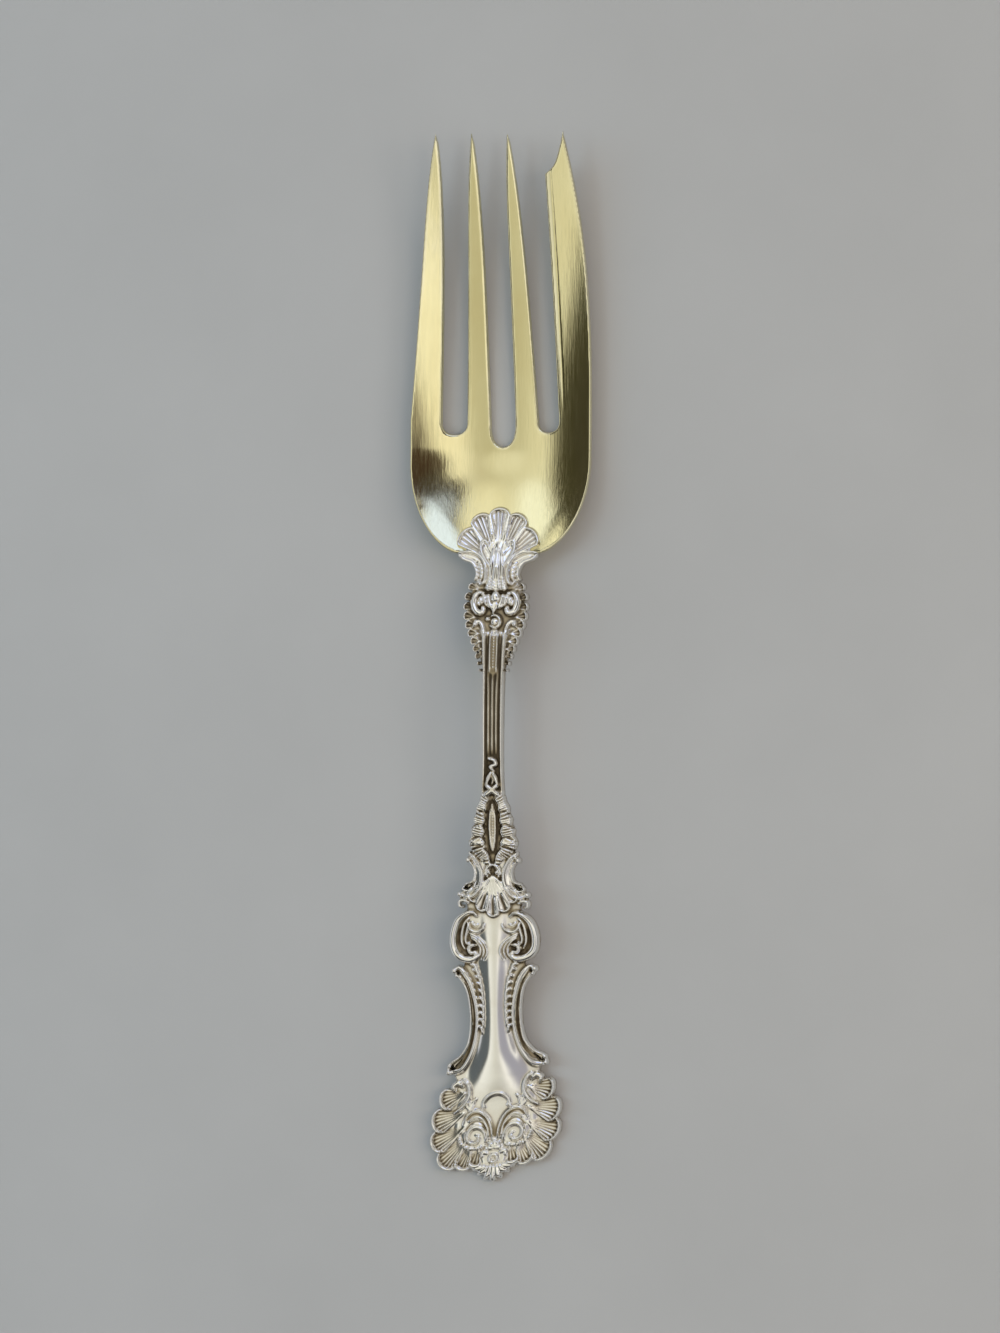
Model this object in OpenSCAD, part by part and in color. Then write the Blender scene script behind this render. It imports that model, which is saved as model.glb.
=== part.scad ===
// Serving fork: a gilt four-tined head let into a die-struck silver handle and soldered there.
// The fork lies face up on a table. +Y points to the tine tips, +X to the cutting tine, +Z up.
// The origin is on the table, under the middle of the fork's length and width.

/* [Head] */
// Width across the shoulders
head_width = 40.2; // [37:0.1:44]
// From the heel line to the roots of the tines
palm_length = 29.2; // [26:0.1:34]
// Length of the tines beyond their roots
tine_length = 62.3; // [50:0.1:75]
// Thickness of the palm and of the tine roots
plate_thickness = 2; // [1.8:0.05:2.4]
// Thickness at the tine tips
tip_thickness = 0.9; // [0.6:0.05:1.4]
// Places of the four tine tips across the head
tine_tips = [-13.9, -6.1, 1.75, 14]; // [-20:0.05:20]
// Width of the slots at the roots of the tines
slot_width = 5.3; // [4.8:0.1:5.8]
// Width of each of the two middle tines at its root
middle_tine_width = 5.35; // [4.8:0.05:5.8]
// How far each slot dips below the roots of the tines
slot_dips = [2.9, 5.6, 2.5]; // [2:0.1:7]
// Width left at the barb of the cutting tine
barb_width = 6.2; // [5:0.1:7]
// From the barb to the tip of the cutting tine
barb_length = 9; // [7:0.1:12]
// Width of the ground edge along the cutting tine
bevel_width = 1.6; // [1:0.1:2.2]
// Depth of the ground edge along the cutting tine
bevel_depth = 0.9; // [0.4:0.05:1.2]
// How far the shoulders stand above the middle of the bowl
bowl_depth = 3.6; // [2.5:0.1:4.5]

/* [Side profile] */
// Height of the tine tips above the bottom of the bowl
tip_rise = 7.2; // [4:0.1:10]
// Height of the heel above the bottom of the bowl
heel_rise = 4.6; // [3.5:0.1:6]
// Height of the middle of the stem above the table
crest_height = 11; // [9:0.1:14]

/* [Handle sections] */
// From the heel line to the neck
heel_length = 2.8; // [2:0.1:4]
// Length of the scalloped neck
neck_length = 23; // [20:0.1:26]
// Length of the plain reeded stem
stem_length = 19; // [12:0.1:30]
// Length of the crossed ribbons
ribbon_length = 25.5; // [22:0.1:30]
// Length of the small fan below the ribbons
fan_length = 7; // [6:0.1:8.5]
// Length of the scrolled bosses
boss_length = 11.7; // [10:0.1:14]
// Length of the plain panel between its scrolls
waist_length = 25.3; // [20:0.1:34]
// Length of the shell end
terminal_length = 22.8; // [20:0.1:26]

/* [Handle widths] */
// Width of the neck over its scallops
neck_width = 14; // [12:0.1:16]
// Width of the stem over its rails
stem_width = 4.9; // [4.4:0.1:5.6]
// Width over the crossed ribbons
ribbon_width = 11; // [9.5:0.1:12.5]
// Width over the brackets beside the fan
fan_width = 15; // [13:0.1:17]
// Width over the scrolled bosses
boss_width = 19.4; // [17:0.1:22]
// Width of the panel's scrolls at their ends
waist_width = 21.8; // [19:0.1:24]
// Width of the shell end
terminal_width = 28.8; // [25:0.1:32]

/* [Handle thickness] */
// Thickness of the neck
neck_thickness = 3.6; // [3.4:0.05:4.2]
// Thickness of the stem
stem_thickness = 3.2; // [2.6:0.05:4]
// Thickness of the plain panel
panel_thickness = 2.3; // [1.8:0.05:3]
// Thickness at the shell end
end_thickness = 1.8; // [1.4:0.05:2.4]

/* [Ornament] */
// Radius of the shell that covers the heel
shell_radius = 11.2; // [10:0.1:12.5]
// Height of the struck ornament above the plain surface
relief = 0.8; // [0.5:0.05:1]
// Width that the ridges, beads and petals of the ornament are shares of
stroke = 1; // [0.9:0.05:1.1]
// Lobes of the heel shell
shell_lobes = 7; // [5:2:7]
// Scallops along each side of the neck
neck_lobes = 11; // [8:1:12]
// Lobes of the small fan
fan_lobes = 5; // [3:1:5]
// Gathers in each ribbon
ribbon_gathers = 13; // [9:1:15]
// Leaves beside the plain panel
panel_leaves = 8; // [6:2:10]
// Lobes in each half of the shell end
terminal_lobes = 5; // [4:1:5]
// Turn of the shell end on the handle, in degrees
terminal_turn = 8; // [0:0.5:10]

/* [Soldered joint] */
// Width of the tongue at the back of the head
tongue_width = 6; // [5:0.1:6.6]
// Length of the tongue inside the neck
tongue_length = 12; // [8:0.1:14]
// Thickness of the tongue
tongue_thickness = 1.3; // [1.1:0.05:1.5]
// Thickness of the solder film round the tongue
solder_gap = 0.1; // [0.05:0.01:0.15]
// Depth of the flat worn on the underside of the bowl and of the handle's end
wear_depth = 0.15; // [0.1:0.01:0.2]

/* [Hidden] */

gilt = [0.83, 0.76, 0.52];
silver = [0.80, 0.80, 0.78];
solder = [0.70, 0.71, 0.70];

handle_length = heel_length + neck_length + stem_length + ribbon_length
    + fan_length + boss_length + waist_length + terminal_length;
fork_length = palm_length + tine_length + handle_length;

// Where each part of the fork starts, going down from the tine tips
y_tip = fork_length / 2;
y_root = y_tip - tine_length;
y_heel = y_root - palm_length;
y_neck = y_heel - heel_length;
y_stem = y_neck - neck_length;
y_ribbon = y_stem - stem_length;
y_fan = y_ribbon - ribbon_length;
y_boss = y_fan - fan_length;
y_waist = y_boss - boss_length;
y_terminal = y_waist - waist_length;
y_end = y_terminal - terminal_length;
y_bowl = y_heel + palm_length * 0.8;

head_half = head_width / 2;
neck_half = neck_width / 2;
stem_half = stem_width / 2;
ribbon_half = ribbon_width / 2;
fan_half = fan_width / 2;
boss_half = boss_width / 2;
waist_half = waist_width / 2;
terminal_half = terminal_width / 2;

// Small overlap for cuts that pass right through
past = 1;

// Thickness of a section that is only there to be hulled to the next
hair = 0.01;

// Curves

function between(a, b, t) = a + (b - a) * t;

function spline_point(a, b, c, d, t) =
    0.5 * (2 * b + (c - a) * t + (2 * a - 5 * b + 4 * c - d) * t * t
        + (3 * b - a - 3 * c + d) * t * t * t);

// A smooth line through the points p, with n steps between neighbours
function curve(p, n) = [
    for (i = [0 : len(p) - 2], k = [0 : n - 1])
        spline_point(p[max(i - 1, 0)], p[i], p[i + 1], p[min(i + 2, len(p) - 1)], k / n),
    p[len(p) - 1]
];

function secant(table, i) =
    (table[i + 1][1] - table[i][1]) / (table[i + 1][0] - table[i][0]);

// Slope at a point of a table: flat at a high or low point, so the curve never overshoots
function table_slope(table, i) =
    i == 0 ? secant(table, 0)
    : i == len(table) - 1 ? secant(table, i - 1)
    : let (a = secant(table, i - 1), b = secant(table, i))
        a * b <= 0 ? 0 : 2 * a * b / (a + b);

// Value at x of the smooth curve through a table of [x, value] with rising x
function along(table, x) =
    x <= table[0][0] ? table[0][1]
    : x >= table[len(table) - 1][0] ? table[len(table) - 1][1]
    : let (i = max([for (k = [0 : len(table) - 2]) if (table[k][0] <= x) k]),
           span = table[i + 1][0] - table[i][0],
           t = (x - table[i][0]) / span,
           rise = table_slope(table, i) * span,
           fall = table_slope(table, i + 1) * span)
        table[i][1] * (1 + 2 * t) * (1 - t) * (1 - t) + rise * t * (1 - t) * (1 - t)
        + table[i + 1][1] * t * t * (3 - 2 * t) - fall * t * t * (1 - t);

// Solids from rings of points

// Finest step of a point's place
grain = 0.001;
function snapped(p) = [for (v = p) round(v / grain) * grain];

// Closed solid through rings that each hold the same number of points.
// Seen along the way from ring to ring, each ring runs anticlockwise
module skin(rings) {
    m = len(rings[0]);
    last = (len(rings) - 1) * m;
    polyhedron(
        points = [for (ring = rings) for (p = ring) snapped(p)],
        faces = [
            for (i = [0 : len(rings) - 2], j = [0 : m - 1])
                let (a = i * m + j, b = i * m + (j + 1) % m)
                each [[a, b, b + m], [a, b + m, a + m]],
            for (j = [1 : m - 2]) each [[0, j + 1, j], [last, last + j, last + j + 1]]
        ]);
}

// Side profile

bowl_height = plate_thickness / 2 - wear_depth;
end_height = end_thickness / 2 - wear_depth;

// Height of the middle of the metal above the table, along the fork's axis
spine_table = [
    [y_end, end_height],
    [y_end + terminal_length * 0.4, end_height + wear_depth],
    [y_waist, between(end_height, crest_height, 0.6)],
    [between(y_stem, y_ribbon, 0.5), crest_height],
    [y_heel, bowl_height + heel_rise],
    [y_bowl, bowl_height],
    [between(y_root, y_tip, 0.45), bowl_height + tip_rise * 0.25],
    [y_tip, bowl_height + tip_rise]
];
function spine(y) = along(spine_table, y);

// Head

plate_table = [
    [y_heel, plate_thickness],
    [between(y_root, y_tip, 0.6), plate_thickness],
    [y_tip, tip_thickness]
];
function plate(y) = along(plate_table, y);

dish_table = [
    [y_heel, bowl_depth * 0.7],
    [y_bowl, bowl_depth],
    [between(y_root, y_tip, 0.4), bowl_depth * 0.75],
    [y_tip, bowl_depth * 0.4]
];
function dish(x, y) = along(dish_table, y) * pow(x / head_half, 2);

function head_middle(x, y) = spine(y) + dish(x, y);

// Roots of the tines, as [left, right] across the head
slot_right = slot_width * 1.5 + middle_tine_width;
cutting_spread = slot_width * 0.15;
tine_roots = [
    [-head_half, -slot_width * 1.5 - middle_tine_width],
    [-slot_width / 2 - middle_tine_width, -slot_width / 2],
    [slot_width / 2, slot_width / 2 + middle_tine_width],
    [slot_right - cutting_spread, head_half]
];

// Share of its root width that a tine keeps at the share t of its length
function taper(t) = 1 - 0.5 * t - 0.5 * pow(t, 6);

// Edge of one of the three plain tines. Side is -1 on the left, 1 on the right
function tine_edge(i, side, t) =
    let (root = tine_roots[i],
         middle = between((root[0] + root[1]) / 2, tine_tips[i], t),
         half = (root[1] - root[0]) / 2)
        [middle + side * half * taper(t), y_root + t * tine_length];

tine_steps = 9;
function tine_side(i, side, ts) = [for (t = ts) tine_edge(i, side, t)];
rising = [for (k = [0 : tine_steps - 1]) k / tine_steps];
falling = [for (k = [tine_steps - 1 : -1 : 0]) k / tine_steps];

// The cutting tine: a straight inner edge up to the barb, and a bowed outer edge
cutting_root = tine_roots[3];
cutting_tip = [tine_tips[3], y_tip];
barb_share = 1 - barb_length / tine_length;
function cutting_outer(t) =
    [between(cutting_root[1], tine_tips[3], pow(t, 2.6)), y_root + t * tine_length];
barb = [cutting_outer(barb_share)[0] - barb_width, y_tip - barb_length];
function cutting_inner(t) = between([cutting_root[0], y_root], barb, t);
notch = curve([
    barb,
    between(barb, cutting_tip, 0.35) + [barb_width * 0.1, -barb_length * 0.13],
    between(barb, cutting_tip, 0.7) + [barb_width * 0.07, -barb_length * 0.07],
    cutting_tip
], 2);

// Round bottom of slot i, from the tine on its left to the tine on its right
slot_steps = 8;
function slot_bottom(i) =
    let (left = tine_roots[i][1], right = tine_roots[i + 1][0])
        [for (k = [1 : slot_steps - 1])
            let (a = 180 * k / slot_steps)
                [between(left, right, (1 - cos(a)) / 2), y_root - slot_dips[i] * pow(sin(a), 0.7)]];

// Rounded shoulder from the heel out to the side of the head, on the right
heel_half = shell_radius * 0.78;
shoulder_steps = 9;
shoulder = [
    for (k = [0 : shoulder_steps])
        let (a = 90 * k / shoulder_steps)
            [between(heel_half, head_half, pow(sin(a), 1.2)),
             between(y_root, y_heel, 0.3) - (palm_length * 0.7) * cos(a)]
];
function mirrored(points) = [for (i = [len(points) - 1 : -1 : 0]) [-points[i][0], points[i][1]]];

head_outline = concat(
    [[tongue_width / 2, y_heel - heel_length * 0.8]],
    shoulder,
    [for (t = rising) cutting_outer(t)],
    [for (i = [len(notch) - 1 : -1 : 0]) notch[i]],
    [[cutting_root[0], y_root]],
    [for (i = [2 : -1 : 0]) each concat(
        [for (k = [slot_steps - 2 : -1 : 0]) slot_bottom(i)[k]],
        tine_side(i, 1, rising),
        [tine_edge(i, 0, 1)],
        tine_side(i, -1, falling))],
    mirrored(shoulder),
    [[-tongue_width / 2, y_heel - heel_length * 0.8]]
);

sheet_columns = 10;
sheet_rows = 20;

// The dished plate before its outline is cut, grown all round by extra
module sheet(extra = 0) {
    low = y_heel - heel_length;
    edge = head_half + past;
    skin([
        for (r = [0 : sheet_rows])
            let (y = between(low, y_tip + past, r / sheet_rows),
                 half = plate(y) / 2 + extra,
                 across = [for (c = [0 : sheet_columns]) between(-edge, edge, c / sheet_columns)])
                concat(
                    [for (x = across) [x, y, head_middle(x, y) - half]],
                    [for (i = [sheet_columns : -1 : 0])
                        [across[i], y, head_middle(across[i], y) + half]])
    ]);
}

module blank(extra = 0) {
    intersection() {
        sheet(extra);
        translate([0, 0, -past])
            linear_extrude(crest_height + tip_rise + bowl_depth)
                offset(delta = extra)
                    polygon(head_outline);
    }
}

// The ground edge: a wedge taken off the top along the cutting tine's inner side, from nothing
// near the root to its full size, and out past the barb
bevel_steps = 10;
bevel_start = 0.08;
bevel_end = 1.04;
bevel_seed = 0.1;
bevel_growth = 4;
module bevel_section(share) {
    p = cutting_inner(between(bevel_start, bevel_end, share));
    top = head_middle(p[0], p[1]) + plate(p[1]) / 2;
    size = min(1, bevel_seed + bevel_growth * share);
    wide = bevel_width * size;
    deep = bevel_depth * size;
    translate([p[0], p[1], top])
        rotate([90, 0, 0])
            linear_extrude(hair)
                polygon([[-past, past], [wide, past], [wide, 0], [-past, -deep * (1 + past / wide)]]);
}

module cutting_bevel() {
    for (k = [0 : bevel_steps - 1])
        hull() {
            bevel_section(k / bevel_steps);
            bevel_section((k + 1) / bevel_steps);
        }
}

// Places what belongs to the joint along the slope of the heel
module at_heel() {
    slope = atan2(spine(y_heel - tongue_length) - spine(y_heel), tongue_length);
    translate([0, y_heel, spine(y_heel)])
        rotate([-slope, 0, 0])
            children();
}

// The tongue, grown all round by extra
module tongue(extra = 0) {
    at_heel()
        translate([-tongue_width / 2 - extra, -tongue_length - extra, -tongue_thickness / 2 - extra])
            cube([tongue_width + 2 * extra, tongue_length + extra, tongue_thickness + 2 * extra]);
}

// Everything below the table top, which wears flats on the metal
module below_table() {
    translate([-fork_length, -fork_length, -fork_length])
        cube([2 * fork_length, 2 * fork_length, fork_length]);
}

module fork_head() {
    color(gilt)
        difference() {
            union() {
                blank();
                tongue();
            }
            cutting_bevel();
            below_table();
        }
}

// Handle body

// Half width of the plain plate that carries the ornament
core_table = [
    [y_end, terminal_half * 0.05],
    [y_end + terminal_length * 0.08, terminal_half * 0.2],
    [y_end + terminal_length * 0.15, terminal_half * 0.42],
    [y_end + terminal_length * 0.25, terminal_half * 0.7],
    [y_end + terminal_length * 0.42, terminal_half * 0.86],
    [y_end + terminal_length * 0.6, terminal_half * 0.84],
    [y_end + terminal_length * 0.82, terminal_half * 0.68],
    [y_end + terminal_length * 0.97, terminal_half * 0.63],
    [between(y_waist, y_terminal, 0.92), waist_half * 0.96],
    [between(y_waist, y_terminal, 0.8), waist_half * 0.77],
    [between(y_waist, y_terminal, 0.62), waist_half * 0.54],
    [between(y_waist, y_terminal, 0.42), waist_half * 0.48],
    [between(y_waist, y_terminal, 0.2), waist_half * 0.56],
    [between(y_waist, y_terminal, 0.07), waist_half * 0.77],
    [y_waist, boss_half * 0.7],
    [between(y_boss, y_waist, 0.85), boss_half * 0.83],
    [between(y_boss, y_waist, 0.5), boss_half * 0.93],
    [between(y_boss, y_waist, 0.15), boss_half * 0.78],
    [y_boss, fan_half * 0.9],
    [between(y_fan, y_boss, 0.6), fan_half * 0.94],
    [between(y_fan, y_boss, 0.22), fan_half * 0.72],
    [between(y_ribbon, y_fan, 0.96), fan_half * 0.5],
    [between(y_ribbon, y_fan, 0.8), ribbon_half * 0.9],
    [between(y_ribbon, y_fan, 0.6), ribbon_half * 0.78],
    [between(y_ribbon, y_fan, 0.35), stem_half * 1.15],
    [y_ribbon, stem_half * 0.96],
    [y_stem, stem_half * 1.02],
    [between(y_neck, y_stem, 0.78), neck_half * 0.57],
    [between(y_neck, y_stem, 0.6), neck_half * 0.8],
    [between(y_neck, y_stem, 0.41), neck_half * 0.95],
    [between(y_neck, y_stem, 0.22), neck_half * 0.84],
    [between(y_neck, y_stem, 0.07), neck_half * 0.63],
    [y_heel, neck_half * 0.62],
    [y_heel + shell_radius * 0.3, neck_half * 0.5]
];
function core_half(y) = along(core_table, y);

thickness_table = [
    [y_end, end_thickness],
    [y_terminal, between(end_thickness, panel_thickness, 0.8)],
    [between(y_waist, y_terminal, 0.5), panel_thickness],
    [y_fan, between(panel_thickness, stem_thickness, 0.7)],
    [between(y_stem, y_ribbon, 0.5), stem_thickness],
    [between(y_neck, y_stem, 0.4), neck_thickness],
    [y_heel, neck_thickness],
    [y_heel + shell_radius * 0.3, plate_thickness + relief]
];
function thickness(y) = along(thickness_table, y);

// Share of its half thickness by which the handle's face falls away to its sides
crown = 0.25;

// Height of the handle's plain face. It is crowned across, and follows the head under the shell
function face(x, y) =
    y > y_heel ? head_middle(x, y) + plate(y) / 2
    : spine(y) + thickness(y) / 2 * (1 - crown * pow(min(abs(x) / core_half(y), 1), 2));

// Section of the core, as shares of its half width and half thickness
core_section = [
    [-1, -0.5], [-0.9, 0.7], [-0.4, 0.97], [0.4, 0.97], [0.9, 0.7], [1, -0.5], [0.8, -1], [-0.8, -1]
];

// The shell end is turned on the handle: this moves a plan point as the turn does
function turned(p) =
    let (share = min(max((y_boss - p[1]) / (y_boss - y_terminal), 0), 1),
         angle = terminal_turn * share)
        [p[0] + (p[1] < y_terminal ? sin(angle) * (p[1] - y_terminal) * 0.4 : 0),
         p[1] + p[0] * sin(angle)];

module core() {
    skin([
        for (k = [len(core_table) - 1 : -1 : 0])
            let (y = core_table[k][0])
                [for (c = core_section)
                    let (q = turned([c[0] * core_half(y), y]))
                        [q[0], q[1], spine(y) + c[1] * thickness(y) / 2]]
    ]);
}

// Rounded drop under the heel, which backs the bowl
drop_steps = 6;
module drop() {
    skin([
        for (k = [0 : drop_steps])
            let (t = k / drop_steps,
                 y = between(y_neck, y_heel + shell_radius * 0.7, t),
                 half = neck_half * between(0.6, 0.14, pow(t, 1.5)),
                 under = head_middle(0, y) - plate(y) / 2,
                 deep = between(neck_thickness - plate_thickness, plate_thickness * 0.05, t))
                [[half, y, under + plate_thickness / 4], [-half, y, under + plate_thickness / 4],
                 [-half * 0.7, y, under - deep * 0.7], [0, y, under - deep],
                 [half * 0.7, y, under - deep * 0.7]]
    ]);
}

// Struck ornament

// How far ornament that only stands on the face reaches into the metal
seat = 0.4;
// How far ornament on the edge reaches down through the metal
function through(y) = y > y_neck ? plate_thickness * 0.75 : thickness(y) * 0.55;

// Place of a plan point on the handle, at a height above its face
function lifted(p, height) = concat(turned(p), face(p[0], p[1]) + height);

// Section of a ridge, as shares of its half width and height. The points below 0 are its foot
broad_section = [[1, -1], [0.7, 0.6], [0, 1], [-0.7, 0.6], [-1, -1]];
fine_section = [[1, -1], [0.45, 0.95], [-0.45, 0.95], [-1, -1]];
// Ridges narrower than this many strokes, at their widest, get the fine section
fine_half = 0.56;

function tangent(path, i) =
    let (d = path[min(i + 1, len(path) - 1)] - path[max(i - 1, 0)]) d / norm(d);

// Ridge along a plan path, tapered at its ends. Widths are half widths along the path, in strokes.
// With gathers, its height rises and falls that many times. With edge, it reaches through the metal
module ridge(path, widths, height, gathers = 0, edge = false) {
    n = len(path) - 1;
    half_table = [for (i = [0 : len(widths) - 1]) [i / (len(widths) - 1), widths[i]]];
    section = max(widths) < fine_half ? fine_section : broad_section;
    skin([
        for (i = [0 : n])
            let (p = path[i],
                 t = tangent(path, i),
                 side = [t[1], -t[0]],
                 share = along(half_table, i / n),
                 half = share * stroke,
                 lift = height * (gathers > 0 && i % 2 == 0 ? 0.62 : 1) * min(1, 0.35 + share / widths[1]),
                 base = face(p[0], p[1]),
                 foot = base - (edge ? through(p[1]) : seat))
                [for (s = section)
                    let (q = turned(p + side * half * s[0]))
                        [q[0], q[1], s[1] < 0 ? foot : base + s[1] * lift]]
    ]);
}

// The same ridge on both sides of the handle
module ridges(path, widths, height, gathers = 0, edge = false) {
    for (side = [1, -1])
        ridge([for (p = path) [p[0] * side, p[1]]], widths, height, gathers, edge);
}

// Bead on the handle's face, with its radius in strokes
bead_sides = 6;
module bead(p, share, height) {
    q = turned(p);
    radius = share * stroke;
    translate([q[0], q[1], face(p[0], p[1])])
        hull() {
            translate([0, 0, height - radius])
                sphere(radius, $fn = bead_sides);
            translate([0, 0, -seat])
                cylinder(h = seat, r = radius, $fn = bead_sides);
        }
}

module beads(p, share, height) {
    for (side = [1, -1])
        bead([p[0] * side, p[1]], share, height);
}

// Petal between two plan points, rounded at both ends with radii in strokes
module petal(a, b, root_share, tip_share, height) {
    hull()
        for (part = [[a, root_share * stroke], [b, tip_share * stroke]]) {
            q = turned(part[0]);
            translate([q[0], q[1], face(part[0][0], part[0][1]) + height - part[1]])
                sphere(part[1], $fn = bead_sides);
        }
}

// Fluted lobes between an inner and an outer plan path of the same length.
// The outer path is scalloped, the flutes run from one path to the other, and the rim stands up.
// Steps is how many points each lobe has along its rim
module lobed(inner, outer, lobes, height, steps) {
    n = lobes * steps;
    function place(path, t) =
        let (k = min(floor(t * (len(path) - 1)), len(path) - 2))
            between(path[k], path[k + 1], t * (len(path) - 1) - k);
    skin([
        for (i = [0 : n])
            let (phase = (i % steps) / steps,
                 arch = sqrt(1 - pow(2 * phase - 1, 2)),
                 root = place(inner, i / n),
                 rim = between(root, place(outer, i / n), 0.8 + 0.2 * arch),
                 flute = i % 2 == 0 ? 0.7 : 1,
                 waist = between(root, rim, 0.55),
                 lip = between(root, rim, 0.93))
                [lifted(root, 0.3 * height), lifted(waist, (0.3 + 0.35 * arch) * flute * height),
                 lifted(lip, (0.35 + 0.65 * arch) * height),
                 lifted(rim, -through(rim[1])), lifted(root, -through(root[1]))]
    ]);
}

// Arc of plan points about a centre, with one radius for each angle
function arc(centre, angles, radii) =
    [for (i = [0 : len(angles) - 1]) centre + radii[i] * [cos(angles[i]), sin(angles[i])]];

// Turns a share [across, down] of a section of the handle into a plan point
function in_section(p, half, start, length) = [p[0] * half, start - p[1] * length];
function all_in(points, half, start, length) =
    [for (p = points) in_section(p, half, start, length)];

shell_hinge = [0, y_heel - heel_length * 0.3];
module heel_shell() {
    turns = [for (k = [0 : 12]) between(183, -3, k / 12)];
    lobed(
        arc(shell_hinge, turns, [for (a = turns) shell_radius * 0.3]),
        arc(shell_hinge, turns, [for (a = turns) shell_radius * (1 - 0.2 * pow((a - 90) / 90, 2))]),
        shell_lobes, relief * 1.3, 4);
    ridge([[0, y_heel + shell_radius * 0.35], [0, y_heel], [0, y_neck], [0, between(y_neck, y_stem, 0.22)]],
          [0.4, 1.3, 1.5, 0.7], relief * 0.9);
}

function in_neck(points) = all_in(points, neck_half, y_neck, neck_length);
module neck_scallops() {
    inner = curve(in_neck([[0.36, 0.04], [0.46, 0.14], [0.66, 0.28], [0.72, 0.42], [0.56, 0.6],
                           [0.4, 0.78], [0.22, 1]]), 3);
    outer = curve(in_neck([[0.7, 0], [0.8, 0.13], [0.97, 0.28], [1.02, 0.42], [0.87, 0.6],
                           [0.63, 0.78], [0.38, 1]]), 3);
    lobed(inner, outer, neck_lobes, relief * 0.8, 3);
    lobed([for (i = [len(inner) - 1 : -1 : 0]) [-inner[i][0], inner[i][1]]],
          [for (i = [len(outer) - 1 : -1 : 0]) [-outer[i][0], outer[i][1]]],
          neck_lobes, relief * 0.8, 3);
}

module neck_scrolls() {
    ridges(curve(in_neck([[1.19, -0.1], [0.86, -0.095], [0.5, -0.05], [0.34, 0.03], [0.3, 0.1],
                          [0.4, 0.15]]), 2),
           [0.3, 0.55, 0.5, 0.3], relief * 0.9);
    ridges(curve(in_neck([[0.36, 0.24], [0.58, 0.24], [0.7, 0.31], [0.62, 0.4], [0.44, 0.44],
                          [0.28, 0.42]]), 2),
           [0.3, 0.55, 0.6, 0.3], relief);
    beads(in_neck([[0.33, 0.38]])[0], 0.5, relief * 0.9);
    for (side = [-1, 0, 1])
        petal(in_neck([[side * 0.06, 0.4]])[0], in_neck([[side * 0.22, 0.3 - 0.01 * (1 - abs(side))]])[0],
              0.45, 0.7, relief);
    ridge(curve(in_neck([[-0.2, 0.49], [-0.03, 0.46], [0.13, 0.5], [0.07, 0.56], [-0.11, 0.56]]), 2),
          [0.35, 0.4, 0.4, 0.25], relief * 0.9);
}

// The rails start as curls in the neck, run down the stem and end under the ribbons
module stem_rails() {
    rail = stem_half * 0.88;
    ridges(concat(
            curve(in_neck([[0.58, 0.54], [0.5, 0.5], [0.4, 0.56], [rail / neck_half, 0.68]]), 3),
            [[rail, between(y_neck, y_stem, 0.85)], [rail, y_stem],
             [rail, between(y_stem, y_ribbon, 0.5)], [rail, y_ribbon],
             [rail, between(y_ribbon, y_fan, 0.28)]]),
           [0.35, 0.36, 0.36, 0.36], relief * 0.7);
    beads(in_neck([[0.56, 0.55]])[0], 0.45, relief * 0.8);
    ridges([for (k = [0 : 4]) [stem_half * 0.27, between(y_stem, y_ribbon, k / 4)]],
           [0.25, 0.3, 0.25], relief * 0.5);
    ridge([for (k = [0 : 14]) [0, between(between(y_neck, y_stem, 0.61), y_stem, k / 14)]],
          [0.4, 0.5, 0.5, 0.4], relief * 0.65, 7);
}

function in_ribbon(points) = all_in(points, ribbon_half, y_ribbon, ribbon_length);
module crossed_ribbons() {
    ridges(curve(in_ribbon([[0, 0.275], [0.3, 0.353], [0.48, 0.43], [0.58, 0.53], [0.64, 0.627],
                            [0.66, 0.706], [0.49, 0.79], [0.26, 0.863], [0.16, 0.93]]),
                 ceil(ribbon_gathers / 5)),
           [0.7, 1.1, 1.3, 1.5, 1.8, 1.5, 0.6], relief, ribbon_gathers);
    ridge(in_ribbon([[0, 0.4], [0, 0.48], [0, 0.58], [0, 0.7], [0, 0.77]]), [0.3, 0.9, 0.9, 0.3], relief * 0.6);
    for (k = [0 : 2])
        bead(in_ribbon([[0.05 * (k % 2), 0.02 + 0.07 * k]])[0], 0.6, relief * 0.8);
    beads(in_ribbon([[0.17, 0.957]])[0], 0.55, relief);
}

function in_fan(points) = all_in(points, fan_half, y_fan, fan_length);
fan_hinge = [0, y_fan];
module small_fan() {
    turns = [for (k = [0 : 8]) between(-45, -135, k / 8)];
    lobed(
        arc(fan_hinge, turns, [for (a = turns) fan_length * 0.2]),
        arc(fan_hinge, turns, [for (a = turns) fan_length * (1.2 - 0.25 * pow((a + 90) / 45, 2))]),
        fan_lobes, relief, 4);
    ridges(curve(in_fan([[0.65, -0.66], [0.43, -0.42], [0.36, -0.09], [0.41, 0.26], [0.59, 0.53],
                         [0.83, 0.61], [0.97, 0.56]]), 2),
           [0.4, 0.65, 0.65, 0.4], relief * 1.05, 0, true);
    ridges(curve(in_fan([[0.62, -0.45], [0.54, -0.13], [0.59, 0.13], [0.84, 0.19]]), 2),
           [0.3, 0.4, 0.25], relief * 0.6, 0, true);
    for (p = [[0.7, -0.56], [0.97, 0.6], [0.88, 0.86]])
        beads(in_fan([p])[0], 0.6, relief);
}

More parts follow.
